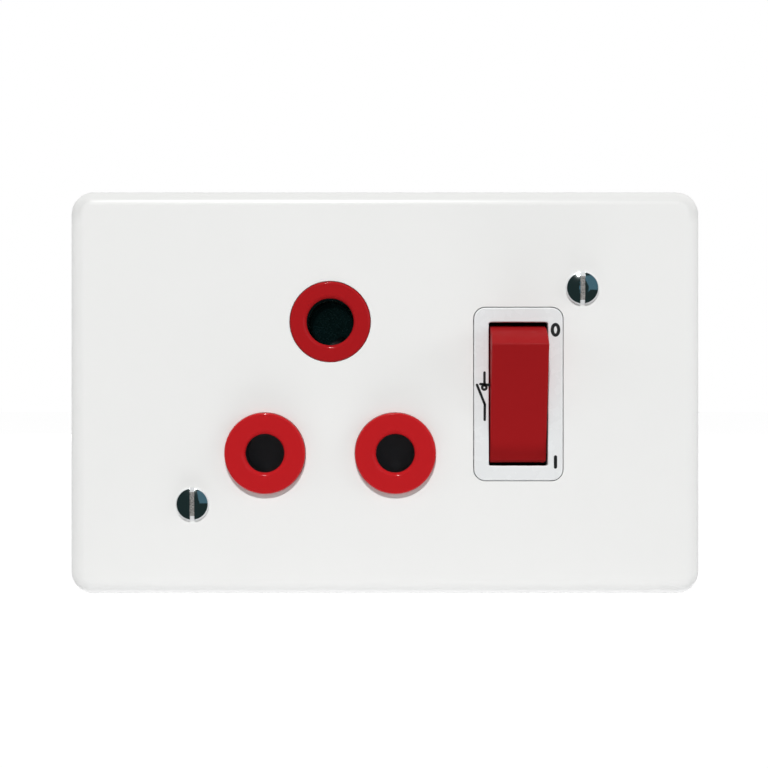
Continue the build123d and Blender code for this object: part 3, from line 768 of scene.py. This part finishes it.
@dataclass
class FormedEdge:
    """A front edge whose round is drawn wider than the frame's.

    Attributes:
        outline: the outline that the edge follows.
        front: the depth of the face in front.
        old_r: the round's radius in the frame.
        new_r: its radius on the dressed piece.
        swell: how far the wall behind the round is moved outward.
        slack: how far from the round a point may lie, as a share of its radius.
    """

    outline: RoundRect | Ring
    front: float
    old_r: float
    new_r: float
    swell: float = 0.0
    slack: float = 0.04

    def apply(self, mesh: bpy.types.Mesh) -> None:
        """Move the vertices of the round to the wider one.

        Args:
            mesh: the mesh of the piece.
        """
        moved = 0
        slack = self.slack * self.old_r
        for vert in mesh.vertices:
            inward, out_x, out_z = self.outline.inward(vert.co.x, vert.co.z)
            depth = vert.co.y - self.front
            if self.swell and abs(inward) < slack and depth > self.old_r + slack:
                vert.co.x += out_x * self.swell
                vert.co.z += out_z * self.swell
                continue
            across, along = self.old_r - inward, self.old_r - depth
            near = all(-slack <= reach <= self.old_r + slack for reach in (inward, depth))
            if not near or abs(math.hypot(across, along) - self.old_r) > slack:
                continue
            angle = math.atan2(max(across, 0.0), max(along, 0.0))
            shift = self.new_r * (1 - math.sin(angle)) - inward - self.swell
            vert.co.x -= out_x * shift
            vert.co.z -= out_z * shift
            vert.co.y = self.front + self.new_r * (1 - math.cos(angle))
            moved += 1
        log.info("%s: %d vertices moved to a round of %.2f mm", mesh.name, moved, self.new_r / MM)


@dataclass
class CadPiece:
    """A piece of the frame, dressed in its finish.

    Attributes:
        node: the node's name.
        finish: its finish.
        slot: the record's slot for it.
        body: the body that it rides on.
        edges: how its edges are rounded, or None where the frame's own mesh stays.
        formed: the edges whose round is drawn wider.
    """

    node: str
    finish: Finish
    slot: Slot
    body: Body = Body.BASE
    edges: SoftEdges | None = None
    formed: tuple[FormedEdge, ...] = ()

    def build(self) -> None:
        """Dress the node itself, or a softened copy that stands for it."""
        material = self.finish.build()
        if self.edges is None:
            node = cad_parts[self.node]
            node.data.materials.clear()
            node.data.materials.append(material)
            log.info("%s keeps its own mesh", self.node)
            return
        piece = new_piece(f"{self.node}_dressed", merged_mesh(self.node))
        for edge in self.formed:
            edge.apply(piece.data)
        self.edges.apply(piece)
        piece.data.materials.clear()
        piece.data.materials.append(material)
        settle(piece, self.body, self.slot, self.node)


@dataclass
class ScrewTree:
    """The node tree that threads one screw and sets it on every point.

    Attributes:
        name: the tree's name.
        steps_per_turn: how finely the thread is wound.
        section_sides: how many sides the thread's section has.
    """

    name: str = "screw_tree"
    steps_per_turn: int = 20
    section_sides: int = 4

    def attach(self, piece: bpy.types.Object, values: dict[str, object]) -> None:
        """Put the tree on a piece and set its inputs.

        Args:
            piece: the piece whose points carry the screws.
            values: the value for each named input.
        """
        modifier = piece.modifiers.new("screws", "NODES")
        modifier.node_group = self.make()
        for item in modifier.node_group.interface.items_tree:
            if item.in_out == "INPUT" and item.name in values:
                modifier[item.identifier] = values[item.name]

    def make(self) -> bpy.types.NodeTree:
        """Build the tree: a helix swept into a ridge, joined to the screw, on each point.

        Returns:
            The tree.
        """
        tree = bpy.data.node_groups.new(self.name, "GeometryNodeTree")
        kinds = {"Geometry": "Geometry", "Screw": "Object", "Finish": "Material"}
        kinds.update(dict.fromkeys(("Root", "Start", "Length", "Pitch", "Ridge"), "Float"))
        for label, kind in kinds.items():
            tree.interface.new_socket(label, in_out="INPUT", socket_type=f"NodeSocket{kind}")
        tree.interface.new_socket("Geometry", in_out="OUTPUT", socket_type="NodeSocketGeometry")
        wires = Wiring(tree)
        given = wires.add("NodeGroupInput").outputs
        helix = wires.out("GeometryNodeCurveSpiral", {
            "Resolution": self.steps_per_turn,
            "Rotations": wires.reckon("DIVIDE", given["Length"], given["Pitch"]),
            "Start Radius": given["Root"],
            "End Radius": given["Root"],
            "Height": given["Length"],
        })
        inputs = {"Resolution": self.section_sides, "Radius": given["Ridge"]}
        section = wires.out("GeometryNodeCurvePrimitiveCircle", inputs, mode="RADIUS")
        inputs = {"Curve": helix, "Profile Curve": section, "Fill Caps": True}
        sweep = wires.out("GeometryNodeCurveToMesh", inputs)
        thread = wires.out("GeometryNodeTransform", {
            "Geometry": sweep,
            "Rotation": (math.radians(-90), 0.0, 0.0),
            "Translation": wires.out("ShaderNodeCombineXYZ", {"Y": given["Start"]}),
        })
        screw = wires.add("GeometryNodeObjectInfo", {"Object": given["Screw"]})
        both = wires.add("GeometryNodeJoinGeometry", {"Geometry": thread})
        wires.feed(both, "Geometry", screw.outputs["Geometry"])
        inputs = {"Points": given["Geometry"], "Instance": both.outputs["Geometry"]}
        spread = wires.out("GeometryNodeInstanceOnPoints", inputs)
        real = wires.out("GeometryNodeRealizeInstances", {"Geometry": spread})
        inputs = {"Geometry": real, "Material": given["Finish"]}
        dress = wires.out("GeometryNodeSetMaterial", inputs)
        wires.add("NodeGroupOutput", {"Geometry": dress})
        return tree


@dataclass
class CoverScrews:
    """The two round head screws in the face of the plate.

    Attributes:
        node: the node that they stand for.
        count: how many there are.
        head_r: the head's radius.
        head_h: its height above the plate.
        rim_h: the height of the head's straight rim.
        rim_r: the round between the dome and the rim.
        flat_r: the radius of the flat on top of the head.
        flat_ring: the radius of a ring of points on the flat, as a share of it.
        shank_r: the outer radius of the thread.
        pitch: the pitch of the thread.
        ridge: the height of the thread as a share of its pitch.
        plain_turns: how many pitches at each end of the shank have no thread.
        tip_r: the radius of the tip's end, as a share of the roots'.
        tip_h: how far the tip is tapered, as a share of the same.
        slot_w: the width of the slot.
        slot_d: the depth of the slot under the top of the dome.
        slot_half: half of the length where the slot's floor is level.
        saw_over: how far the saw runs out past the head.
        saw_h: the height of the saw.
        segments: how many faces go round a screw.
        dome_steps: how many faces the dome's arc has.
        rim_steps: how many faces the rim's round has.
        edges: the rounding of the slot's edges.
        top: the depth of the head's flat, from the frame.
        seat: the depth of the plate's face.
        tip: the depth of the screw's tip, from the frame.
        root_r: the radius at the thread's roots.
    """

    node: str = "cover_screws"
    count: int = 2
    head_r: float = 3.25 * MM
    head_h: float = 1.05 * MM
    rim_h: float = 0.4 * MM
    rim_r: float = 0.25 * MM
    flat_r: float = 1.4 * MM
    flat_ring: float = 0.6
    shank_r: float = 1.75 * MM
    pitch: float = 0.6 * MM
    ridge: float = 0.34
    plain_turns: float = 2.0
    tip_r: float = 0.6
    tip_h: float = 1 / 3
    slot_w: float = 0.9 * MM
    slot_d: float = 0.75 * MM
    slot_half: float = 2.2 * MM
    saw_over: float = 0.1 * MM
    saw_h: float = 5 * MM
    segments: int = 72
    dome_steps: int = 12
    rim_steps: int = 5
    edges: SoftEdges = SoftEdges(0.05 * MM, 2, math.radians(25))
    top: float = field(init=False)
    seat: float = field(init=False)
    tip: float = field(init=False)
    root_r: float = field(init=False)

    def __post_init__(self) -> None:
        """Take the depths from the frame and work out the thread's roots."""
        low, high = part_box(self.node)
        self.top, self.seat, self.tip = low.y, low.y + self.head_h, high.y
        self.root_r = self.shank_r - self.ridge * self.pitch

    def middles(self) -> list[Pair]:
        """Find the X and Z middles of the separate screws.

        Returns:
            One pair for each screw, from left to right.
        """
        merged = merged_mesh(self.node)
        shell = bmesh.new()
        shell.from_mesh(merged)
        left = set(shell.verts)
        found = []
        while left:
            island = [left.pop()]
            for vert in island:
                near = {edge.other_vert(vert) for edge in vert.link_edges} & left
                left -= near
                island += near
            xs, zs = [v.co.x for v in island], [v.co.z for v in island]
            found.append(((min(xs) + max(xs)) / 2, (min(zs) + max(zs)) / 2))
        shell.free()
        bpy.data.meshes.remove(merged)
        if len(found) != self.count:
            raise ValueError(f"{self.node} has {len(found)} screws, not {self.count}")
        return sorted(found)

    def profile(self) -> list[Pair]:
        """Draw the outline of one screw, from the flat on its dome to its tip.

        Returns:
            Pairs of radius and depth.
        """
        rise = self.head_h - self.rim_h
        drop = (self.head_r**2 - self.flat_r**2 + rise**2) / (2 * rise)
        ball = math.hypot(self.flat_r, drop)
        first = math.asin(self.flat_r / ball)
        last = math.asin((self.head_r - self.rim_r) / ball)
        points = [(0.0, self.top), (self.flat_r * self.flat_ring, self.top)]
        for k in range(self.dome_steps + 1):
            angle = first + (last - first) * k / self.dome_steps
            points.append((ball * math.sin(angle), self.top + drop - ball * math.cos(angle)))
        centre_y = points[-1][1] + self.rim_r * math.cos(last)
        for k in range(1, self.rim_steps + 1):
            angle = last + (math.pi / 2 - last) * k / self.rim_steps
            reach = (math.sin(angle) - math.sin(last)) / (1 - math.sin(last))
            across = self.head_r - self.rim_r + self.rim_r * reach
            points.append((across, centre_y - self.rim_r * math.cos(angle)))
        points += [(self.head_r, self.seat), (self.root_r, self.seat)]
        points += [(self.root_r, self.tip - self.root_r * self.tip_h)]
        return points + [(self.root_r * self.tip_r, self.tip), (0.0, self.tip)]

    def turned_mesh(self) -> bpy.types.Mesh:
        """Sweep the outline round the line through the origin.

        Returns:
            A closed mesh.
        """
        turned = bmesh.new()
        rings = []
        for radius, depth in self.profile():
            ring = []
            for k in range(self.segments if radius > 0 else 1):
                turn = 2 * math.pi * k / self.segments
                point = (radius * math.cos(turn), depth, radius * math.sin(turn))
                ring.append(turned.verts.new(point))
            rings.append(ring)
        for front, back in zip(rings, rings[1:]):
            for k in range(self.segments):
                after = (k + 1) % self.segments
                corners = [front[k % len(front)], front[after % len(front)]]
                corners += [back[after % len(back)], back[k % len(back)]]
                turned.faces.new(list(dict.fromkeys(corners)))
        bmesh.ops.recalc_face_normals(turned, faces=turned.faces)
        return closed_mesh(turned, "cover_screw")

    def saw_mesh(self) -> bpy.types.Mesh:
        """Shape the space that the slot takes, which rises past the head.

        Returns:
            A closed mesh.
        """
        saw = bmesh.new()
        run = self.head_r + self.saw_over
        floor, beyond = self.top + self.slot_d, self.seat - self.saw_h
        outline = [(-run, self.seat), (-self.slot_half, floor), (self.slot_half, floor)]
        outline += [(run, self.seat), (run, beyond), (-run, beyond)]
        sides = []
        for x in (-self.slot_w / 2, self.slot_w / 2):
            sides.append([saw.verts.new((x, y, z)) for z, y in outline])
            saw.faces.new(sides[-1])
        for k in range(len(outline)):
            after = (k + 1) % len(outline)
            saw.faces.new((sides[0][k], sides[0][after], sides[1][after], sides[1][k]))
        bmesh.ops.recalc_face_normals(saw, faces=saw.faces)
        return closed_mesh(saw, "saw")

    def one(self) -> bpy.types.Object:
        """Turn one screw about the line through the origin, and saw its slot.

        Returns:
            The screw, without its thread.
        """
        screw = new_piece("cover_screw", self.turned_mesh())
        saw = new_piece("saw", self.saw_mesh())
        cut = screw.modifiers.new("slot", "BOOLEAN")
        cut.operation = "DIFFERENCE"
        cut.solver = "EXACT"
        cut.object = saw
        flatten(screw)
        bpy.data.objects.remove(saw)
        return self.edges.apply(screw)

    def build(self) -> None:
        """Thread the screws and set them in their places."""
        screw = self.one()
        mesh = bpy.data.meshes.new(self.node)
        mesh.from_pydata([(x, 0.0, z) for x, z in self.middles()], [], [])
        piece = new_piece(f"{self.node}_dressed", mesh)
        plain = self.plain_turns * self.pitch
        ScrewTree().attach(piece, {
            "Screw": screw,
            "Root": self.root_r,
            "Start": self.seat + plain,
            "Length": self.tip - self.seat - 2 * plain,
            "Pitch": self.pitch,
            "Ridge": self.ridge * self.pitch,
            "Finish": NICKEL.build(),
        })
        flatten(piece)
        bpy.data.objects.remove(screw)
        settle(piece, Body.BASE, Slot.NICKEL, self.node)


@dataclass
class RearScrews:
    """The cheese head screws that are seen from behind, in their counterbores.

    Attributes:
        nodes: the nodes that hold them.
        edges: the rounding of their heads.
    """

    nodes: tuple[str, ...] = ("housing_screws", "switch_screws")
    edges: SoftEdges = SoftEdges(0.06 * MM)

    def build(self) -> None:
        """Dress the screws."""
        for node in self.nodes:
            CadPiece(node, ZINC_SCREW, Slot.ZINC, edges=self.edges).build()


@dataclass(frozen=True)
class PhotoPlace:
    """How the photograph's pixels fall on planes in front of the wall.

    Attributes:
        axis_px: the pixel that the camera's axis meets.
        axis_m: the X and Z of that axis in the frame.
        distance: from the camera to the face of the plate.
        scale: pixels for each metre at the face of the plate.
        face_y: the depth of the face of the plate.
    """

    axis_px: Pair = (370.0, 402.0)
    axis_m: Pair = (-2.93 * MM, -1.83 * MM)
    distance: float = 330 * MM
    scale: float = 5130.0
    face_y: float = -7.0 * MM

    def at(self, pixel: Pair, depth: float) -> Vector:
        """Find the point at a depth that a pixel shows.

        Args:
            pixel: the pixel.
            depth: the depth.

        Returns:
            The point.
        """
        reach = (self.distance + depth - self.face_y) / self.distance / self.scale
        x = self.axis_m[0] + (pixel[0] - self.axis_px[0]) * reach
        z = self.axis_m[1] + (self.axis_px[1] - pixel[1]) * reach
        return Vector((x, depth, z))


@dataclass
class BezelPrint:
    """The marks printed on the bezel: 0, I and the switch symbol.

    Attributes:
        place: how pixels fall on the bezel.
        ink: how far the print stands above the face.
        body: how much of that the print fills, so that it stays clear of the face.
        bold: half the width of the strokes of 0 and I.
        fine: half the width of the symbol's lines.
        zero: the middle and the half sizes of the 0, as pixels of the photograph.
        ring: the middle and the half sizes of the symbol's ring, as pixels.
        one: the ends of the I, as pixels.
        symbol: the ends of each line of the symbol, as pixels.
        loop_steps: how many points a loop has.
        cap_steps: how many faces round off the end of a line.
    """

    place: PhotoPlace = PhotoPlace()
    ink: float = 0.012 * MM
    body: float = 0.9
    bold: float = 0.32 * MM
    fine: float = 0.25 * MM
    zero: tuple[Pair, Pair] = ((555.5, 329.8), (3.2, 5.3))
    ring: tuple[Pair, Pair] = ((484.3, 387.5), (2.1, 2.1))
    one: tuple[Pair, Pair] = ((555.5, 456.9), (555.5, 467.1))
    symbol: tuple[tuple[Pair, Pair], ...] = (
        ((484.5, 372.6), (484.5, 384.0)),
        ((480.4, 384.1), (489.9, 385.0)),
        ((477.0, 384.9), (484.8, 404.3)),
        ((484.8, 404.3), (484.7, 419.8)),
    )
    loop_steps: int = 40
    cap_steps: int = 8

    def ribbon(self, pad: Shell, points: list[Vector], half: float, closed: bool) -> None:
        """Lay one printed line.

        Args:
            pad: the mesh that is printed on.
            points: the line's middle points.
            half: half of its width.
            closed: whether the line meets itself.
        """
        count = len(points)
        sides = []
        for k, point in enumerate(points):
            before = points[k - 1] if closed or k else point
            after = points[(k + 1) % count] if closed or k + 1 < count else point
            along = (after - before).normalized()
            sides.append(Vector((-along.z, 0.0, along.x)) * half)
        rows = [[pad.verts.new(p + s * way) for p, s in zip(points, sides)] for way in (1, -1)]
        for k in range(count if closed else count - 1):
            after = (k + 1) % count
            pad.faces.new((rows[0][k], rows[0][after], rows[1][after], rows[1][k]))
        if not closed:
            self.cap(pad, points[0], sides[0], -1)
            self.cap(pad, points[-1], sides[-1], 1)

    def cap(self, pad: Shell, middle: Vector, across: Vector, beyond: int) -> None:
        """Round one end of a line.

        Args:
            pad: the mesh that is printed on.
            middle: the end's middle point.
            across: from the middle to the line's side.
            beyond: 1 at the last end and -1 at the first.
        """
        fan = []
        for k in range(self.cap_steps + 1):
            turn = math.pi * k / self.cap_steps * beyond
            fan.append(pad.verts.new(middle + Matrix.Rotation(turn, 3, "Y") @ across))
        pad.faces.new(fan)

    def loop_points(self, loop: tuple[Pair, Pair], depth: float) -> list[Vector]:
        """Go round an ellipse that is given in pixels.

        Args:
            loop: its middle and its half sizes.
            depth: the depth of the print.

        Returns:
            The points.
        """
        (x, z), (half_w, half_h) = loop
        turns = [2 * math.pi * k / self.loop_steps for k in range(self.loop_steps)]
        pixels = [(x + half_w * math.cos(turn), z + half_h * math.sin(turn)) for turn in turns]
        return [self.place.at(pixel, depth) for pixel in pixels]

    def build(self) -> None:
        """Print the marks just proud of the bezel's face."""
        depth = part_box("switch_bezel")[0].y - self.ink
        pad = bmesh.new()
        for loop, half in ((self.zero, self.bold), (self.ring, self.fine)):
            self.ribbon(pad, self.loop_points(loop, depth), half, True)
        for line, half in ((self.one, self.bold), *((line, self.fine) for line in self.symbol)):
            self.ribbon(pad, [self.place.at(end, depth) for end in line], half, False)
        for face in pad.faces:
            face.normal_update()
            if face.normal.y > 0:
                face.normal_flip()
        made = bmesh.ops.extrude_face_region(pad, geom=list(pad.faces))
        raised = [e for e in made["geom"] if isinstance(e, bmesh.types.BMVert)]
        bmesh.ops.translate(pad, verts=raised, vec=(0.0, self.ink * self.body, 0.0))
        bmesh.ops.recalc_face_normals(pad, faces=pad.faces)
        piece = new_piece("bezel_print", closed_mesh(pad, "bezel_print"))
        piece.data.materials.append(INK.build())
        settle(piece, Body.BASE, Slot.BLACK)


@dataclass
class Face:
    """What is seen from the front: the plate, the red moulding, the bezel and the rocker.

    Attributes:
        fine: the rounding of moulded edges.
        pressed: the rounding of the plate's punched edges.
        corner_r: the radius of the plate's corners.
        roll: the radius of the plate's rolled edge, in the frame and as it is dressed.
        earth: the earth hole's middle as X and Z, and its radius.
        pins: the line and neutral holes' middles and radius.
        collar_r: the outer radius of the collars.
        collar_edge: the radius of the collars' edges in the frame.
        rim: the radius of the collars' outer edges as they are dressed.
        lip: the radius of the edges of their holes.
        collar_swell: how far the collars grow toward the plate's holes.
        pins_proud: how far the collars of the line and neutral holes stand out.
        earth_proud: how far the collar of the earth hole stands out.
    """

    fine: SoftEdges = SoftEdges(0.10 * MM)
    pressed: SoftEdges = SoftEdges(0.06 * MM)
    corner_r: float = 4.4 * MM
    roll: Pair = (2.6 * MM, 3.1 * MM)
    earth: Triple = (-10.7 * MM, 13.8248 * MM, 4.55 * MM)
    pins: tuple[Triple, ...] = (
        (2.0 * MM, -11.8 * MM, 3.75 * MM), (-23.4 * MM, -11.8 * MM, 3.75 * MM)
    )
    collar_r: float = 7.8 * MM
    collar_edge: float = 0.35 * MM
    rim: float = 0.50 * MM
    lip: float = 0.90 * MM
    collar_swell: float = 0.10 * MM
    pins_proud: float = 1.2 * MM
    earth_proud: float = 0.15 * MM

    def plate_edges(self) -> tuple[FormedEdge, ...]:
        """The rolled edge of the plate."""
        low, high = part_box("cover_plate")
        return (FormedEdge(RoundRect(high.x, high.z, self.corner_r), low.y, *self.roll),)

    def collar_edges(self) -> tuple[FormedEdge, ...]:
        """Find the outer edge and the hole's edge of each collar.

        Returns:
            Two edges for each collar.
        """
        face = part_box("cover_plate")[0].y
        edges = []
        holes = [(self.earth, self.earth_proud)] + [(pin, self.pins_proud) for pin in self.pins]
        for (x, z, bore), proud in holes:
            front = face - proud
            outer, inner = Ring(x, z, self.collar_r), Ring(x, z, bore, True)
            edges.append(FormedEdge(outer, front, self.collar_edge, self.rim, self.collar_swell))
            edges.append(FormedEdge(inner, front, self.collar_edge, self.lip))
        return tuple(edges)

    def build(self) -> None:
        """Dress each piece in turn."""
        base = Body.BASE
        for piece in (
            CadPiece("cover_plate", ENAMEL, Slot.ENAMEL, base, self.pressed, self.plate_edges()),
            CadPiece("socket_front", COLLAR_RED, Slot.RED, base, self.fine, self.collar_edges()),
            CadPiece("switch_bezel", BEZEL_WHITE, Slot.WHITE, base, self.fine),
            CadPiece("rocker", ROCKER_RED, Slot.RED, Body.ROCKER),
            CadPiece("shutter", SHUTTER_GREY, Slot.GREY, Body.SHUTTER, self.fine),
        ):
            piece.build()


@dataclass
class Mechanism:
    """What is inside and behind.

    Attributes:
        mould: the rounding of the rear housing's edges.
        sheet: the rounding of pressed metal edges.
    """

    mould: SoftEdges = SoftEdges(0.25 * MM, 3)
    sheet: SoftEdges = SoftEdges(0.10 * MM)

    def build(self) -> None:
        """Dress each piece in turn."""
        CadPiece("rear_housing", HOUSING_BLACK, Slot.BLACK, edges=self.mould).build()
        CadPiece("mounting_yoke", ZINC, Slot.ZINC, edges=self.sheet).build()
        for node, finish, slot, body in (
            ("contact_deck", DECK_CREAM, Slot.CREAM, Body.BASE),
            ("earth_contact", DARK_NICKEL, Slot.BRASS, Body.BASE),
            ("line_contact", BRASS, Slot.BRASS, Body.BASE),
            ("neutral_contact", BRASS, Slot.BRASS, Body.BASE),
            ("load_terminal", BRASS, Slot.BRASS, Body.BASE),
            ("supply_terminal", BRASS, Slot.BRASS, Body.BASE),
            ("terminal_screws", BRASS, Slot.BRASS, Body.BASE),
            ("line_clip", SPRING, Slot.SPRING, Body.BASE),
            ("neutral_clip", SPRING, Slot.SPRING, Body.BASE),
            ("earth_clip", SPRING, Slot.SPRING, Body.BASE),
            ("shutter_spring", SPRING, Slot.SPRING, Body.BASE),
            ("plunger_spring", SPRING, Slot.SPRING, Body.ROCKER),
            ("earth_strap", COPPER, Slot.COPPER, Body.BASE),
            ("line_link", COPPER, Slot.COPPER, Body.BASE),
            ("contact_bridge", COPPER, Slot.COPPER, Body.BRIDGE),
            ("moving_contact_tip", SILVER, Slot.SILVER, Body.BRIDGE),
            ("fixed_contact_tip", SILVER, Slot.SILVER, Body.BASE),
            ("plunger", NYLON, Slot.NYLON, Body.PLUNGER),
        ):
            CadPiece(node, finish, slot, body).build()


@dataclass(frozen=True)
class Lamp:
    """One soft lamp that points at the object.

    Attributes:
        name: its name.
        where: its place in metres.
        size: its width and height.
        power: its power in watts.
        tint: its colour.
        in_gloss: whether it shows in reflections.
    """

    name: str
    where: Triple
    size: Pair
    power: float
    tint: Triple = (0.985, 0.985, 1.0)
    in_gloss: bool = False

    def hang(self) -> None:
        """Put the lamp in the scene."""
        light = bpy.data.lights.new(self.name, "AREA")
        light.shape = "RECTANGLE"
        light.size, light.size_y = self.size
        light.energy = self.power
        light.color = self.tint
        holder = bpy.data.objects.new(self.name, light)
        holder.location = self.where
        holder.rotation_euler = (-Vector(self.where)).to_track_quat("-Z", "Y").to_euler()
        holder.visible_camera = False
        holder.visible_glossy = self.in_gloss
        bpy.context.scene.collection.objects.link(holder)


@dataclass
class Studio:
    """A pale floor, soft lamps, a white surround and the camera.

    Attributes:
        place: the photograph's view.
        frame_px: the side of the picture in pixels.
        sensor: the width of the camera's sensor in millimetres.
        near: how near the camera starts to see.
        ambient: how bright the surround is for soft light.
        key_power: the key lamp's power in watts.
        key_size: its width and height.
        key_rise: how far it stands above the object's middle, as an angle.
        key_side: how far it stands to the right, as an angle.
        key_away: its distance.
        key_tint: its colour.
        fills: the weak lamps at the sides, below and behind.
        drape_r: the radius of the dark drape round the camera's side.
        drape_cells: how many faces it has round and up.
        drape_to: the depth where the drape ends.
        drape_tone: its colour, linear.
        window_toward: the way to the window in the drape.
        window_away: its distance.
        window_half: half of its side.
        window_tone: its colour, linear.
        floor_gap: how far the floor lies under the plate.
        floor_half: half of the floor's side.
        floor_cells: how many faces it has each way.
        floor_tone: its lightness where the lamps light it.
        floor_glow: how bright it shines to the camera.
        floor_share: how much of that is seen.
    """

    place: PhotoPlace = PhotoPlace()
    frame_px: float = 768.0
    sensor: float = 36.0
    near: float = 10 * MM
    ambient: float = 0.19
    key_power: float = 39.5
    key_size: Pair = (0.16, 0.12)
    key_rise: float = math.radians(46)
    key_side: float = math.radians(-5)
    key_away: float = 2.2
    key_tint: Triple = (1.0, 1.0, 0.995)
    fills: tuple[Lamp, ...] = (
        Lamp("right_lamp", (1.17, -0.25, 0.20), (0.5, 0.5), 4.4),
        Lamp("left_lamp", (-1.17, -0.25, 0.20), (0.5, 0.5), 2.4),
        Lamp("under_lamp", (0.0, -0.040, -0.25), (0.30, 0.05), 0.44),
        Lamp("back_lamp", (-0.5, 1.6, 0.12), (0.6, 0.15), 14.0),
    )
    drape_r: float = 2.2
    drape_cells: tuple[int, int] = (48, 24)
    drape_to: float = 0.05
    drape_tone: Triple = (0.020, 0.036, 0.037)
    window_toward: Triple = (0.54, -0.76, 0.34)
    window_away: float = 1.6
    window_half: float = 0.62
    window_tone: Triple = (0.09, 0.19, 0.25)
    floor_gap: float = 0.2 * MM
    floor_half: float = 6.0
    floor_cells: int = 8
    floor_tone: float = 0.36
    floor_glow: float = 1.15
    floor_share: float = 0.85

    def camera(self) -> None:
        """Stand the camera straight in front, with the photograph's framing."""
        axis_px, (axis_x, axis_z) = self.place.axis_px, self.place.axis_m
        lens = bpy.data.cameras.new("camera")
        lens.sensor_width = self.sensor
        lens.lens = self.sensor * self.place.distance / (self.frame_px / self.place.scale)
        lens.shift_x = (self.frame_px / 2 - axis_px[0]) / self.frame_px
        lens.shift_y = (axis_px[1] - self.frame_px / 2) / self.frame_px
        lens.clip_start = self.near
        eye = bpy.data.objects.new("camera", lens)
        eye.location = (axis_x, self.place.face_y - self.place.distance, axis_z)
        eye.rotation_euler = (math.radians(90), 0.0, 0.0)
        bpy.context.scene.collection.objects.link(eye)
        bpy.context.scene.camera = eye

    def lamps(self) -> None:
        """Hang the key lamp above the camera, and the weak ones round the object."""
        level = self.key_away * math.cos(self.key_rise)
        across, out = level * math.sin(self.key_side), -level * math.cos(self.key_side)
        where = (across, out, self.key_away * math.sin(self.key_rise))
        Lamp("key_lamp", where, self.key_size, self.key_power, self.key_tint, True).hang()
        for lamp in self.fills:
            lamp.hang()

    def card(self, name: str, shell: Shell, colour: Triple) -> None:
        """Stand up a shining card that shows in reflections alone.

        Args:
            name: its name.
            shell: its shape.
            colour: its colour, linear.
        """
        card = new_piece(name, closed_mesh(shell, name))
        material = bpy.data.materials.new(name)
        wires = Wiring.afresh(material)
        shine = wires.out("ShaderNodeEmission", {"Color": (*colour, 1.0), "Strength": 1.0})
        wires.add("ShaderNodeOutputMaterial", {"Surface": shine})
        card.data.materials.append(material)
        for ray in ("camera", "diffuse", "shadow", "transmission"):
            setattr(card, f"visible_{ray}", False)

    def dark_side(self) -> None:
        """Hang a dark drape round the camera's side, with a window in it, for the gloss."""
        drape = bmesh.new()
        around, up = self.drape_cells
        bmesh.ops.create_uvsphere(drape, u_segments=around, v_segments=up, radius=self.drape_r)
        behind = [v for v in drape.verts if v.co.y > self.drape_to]
        bmesh.ops.delete(drape, geom=behind, context="VERTS")
        self.card("drape", drape, self.drape_tone)
        toward = Vector(self.window_toward).normalized()
        turn = toward.to_track_quat("Z", "Y").to_matrix().to_4x4()
        place = Matrix.Translation(toward * self.window_away) @ turn
        pane = bmesh.new()
        bmesh.ops.create_grid(pane, x_segments=1, y_segments=1, size=self.window_half)
        bmesh.ops.transform(pane, matrix=place, verts=pane.verts)
        self.card("window", pane, self.window_tone)

    def floor(self) -> None:
        """Lay a pale floor under the plate, white to the camera with the shadow kept."""
        level, cells = CAD_BOX[0].z - self.floor_gap, self.floor_cells
        sheet = bmesh.new()
        bmesh.ops.create_grid(sheet, x_segments=cells, y_segments=cells, size=self.floor_half)
        bmesh.ops.translate(sheet, verts=sheet.verts, vec=(0.0, 0.0, level))
        ground = new_piece("floor", closed_mesh(sheet, "floor"))
        material = bpy.data.materials.new("floor_white")
        wires = Wiring.afresh(material)
        matt = wires.out("ShaderNodeBsdfDiffuse", {"Color": (*[self.floor_tone] * 3, 1.0)})
        shine = wires.out("ShaderNodeEmission", {"Strength": self.floor_glow})
        seen = wires.add("ShaderNodeLightPath").outputs["Is Camera Ray"]
        share = wires.reckon("MULTIPLY", seen, self.floor_share)
        wires.end_mixed("ShaderNodeOutputMaterial", share, matt, shine)
        ground.data.materials.append(material)
        ground.visible_glossy = False
        ground.visible_shadow = False

    def surround(self) -> None:
        """Make a world that is white where it is seen and softer where it lights."""
        world = bpy.data.worlds.new("surround")
        bpy.context.scene.world = world
        wires = Wiring.afresh(world)
        rays = wires.add("ShaderNodeLightPath").outputs
        seen = wires.reckon("MAXIMUM", rays["Is Camera Ray"], rays["Is Glossy Ray"])
        seen = wires.reckon("MAXIMUM", seen, rays["Is Transmission Ray"])
        soft = wires.out("ShaderNodeBackground", {"Color": WHITE, "Strength": self.ambient})
        white = wires.out("ShaderNodeBackground", {"Color": WHITE, "Strength": 1.0})
        wires.end_mixed("ShaderNodeOutputWorld", seen, soft, white)

    def build(self) -> None:
        """Set up the whole studio."""
        self.camera()
        self.lamps()
        self.dark_side()
        self.floor()
        self.surround()
        bpy.context.scene.view_settings.view_transform = "Standard"
        log.info("studio is set")


def main() -> None:
    """Build the classes in order and report each piece."""
    logging.basicConfig(level=logging.INFO, format="%(name)s: %(message)s")
    for part in (Face(), CoverScrews(), RearScrews(), BezelPrint(), Mechanism(), Studio()):
        part.build()


if __name__ == "__main__":
    main()
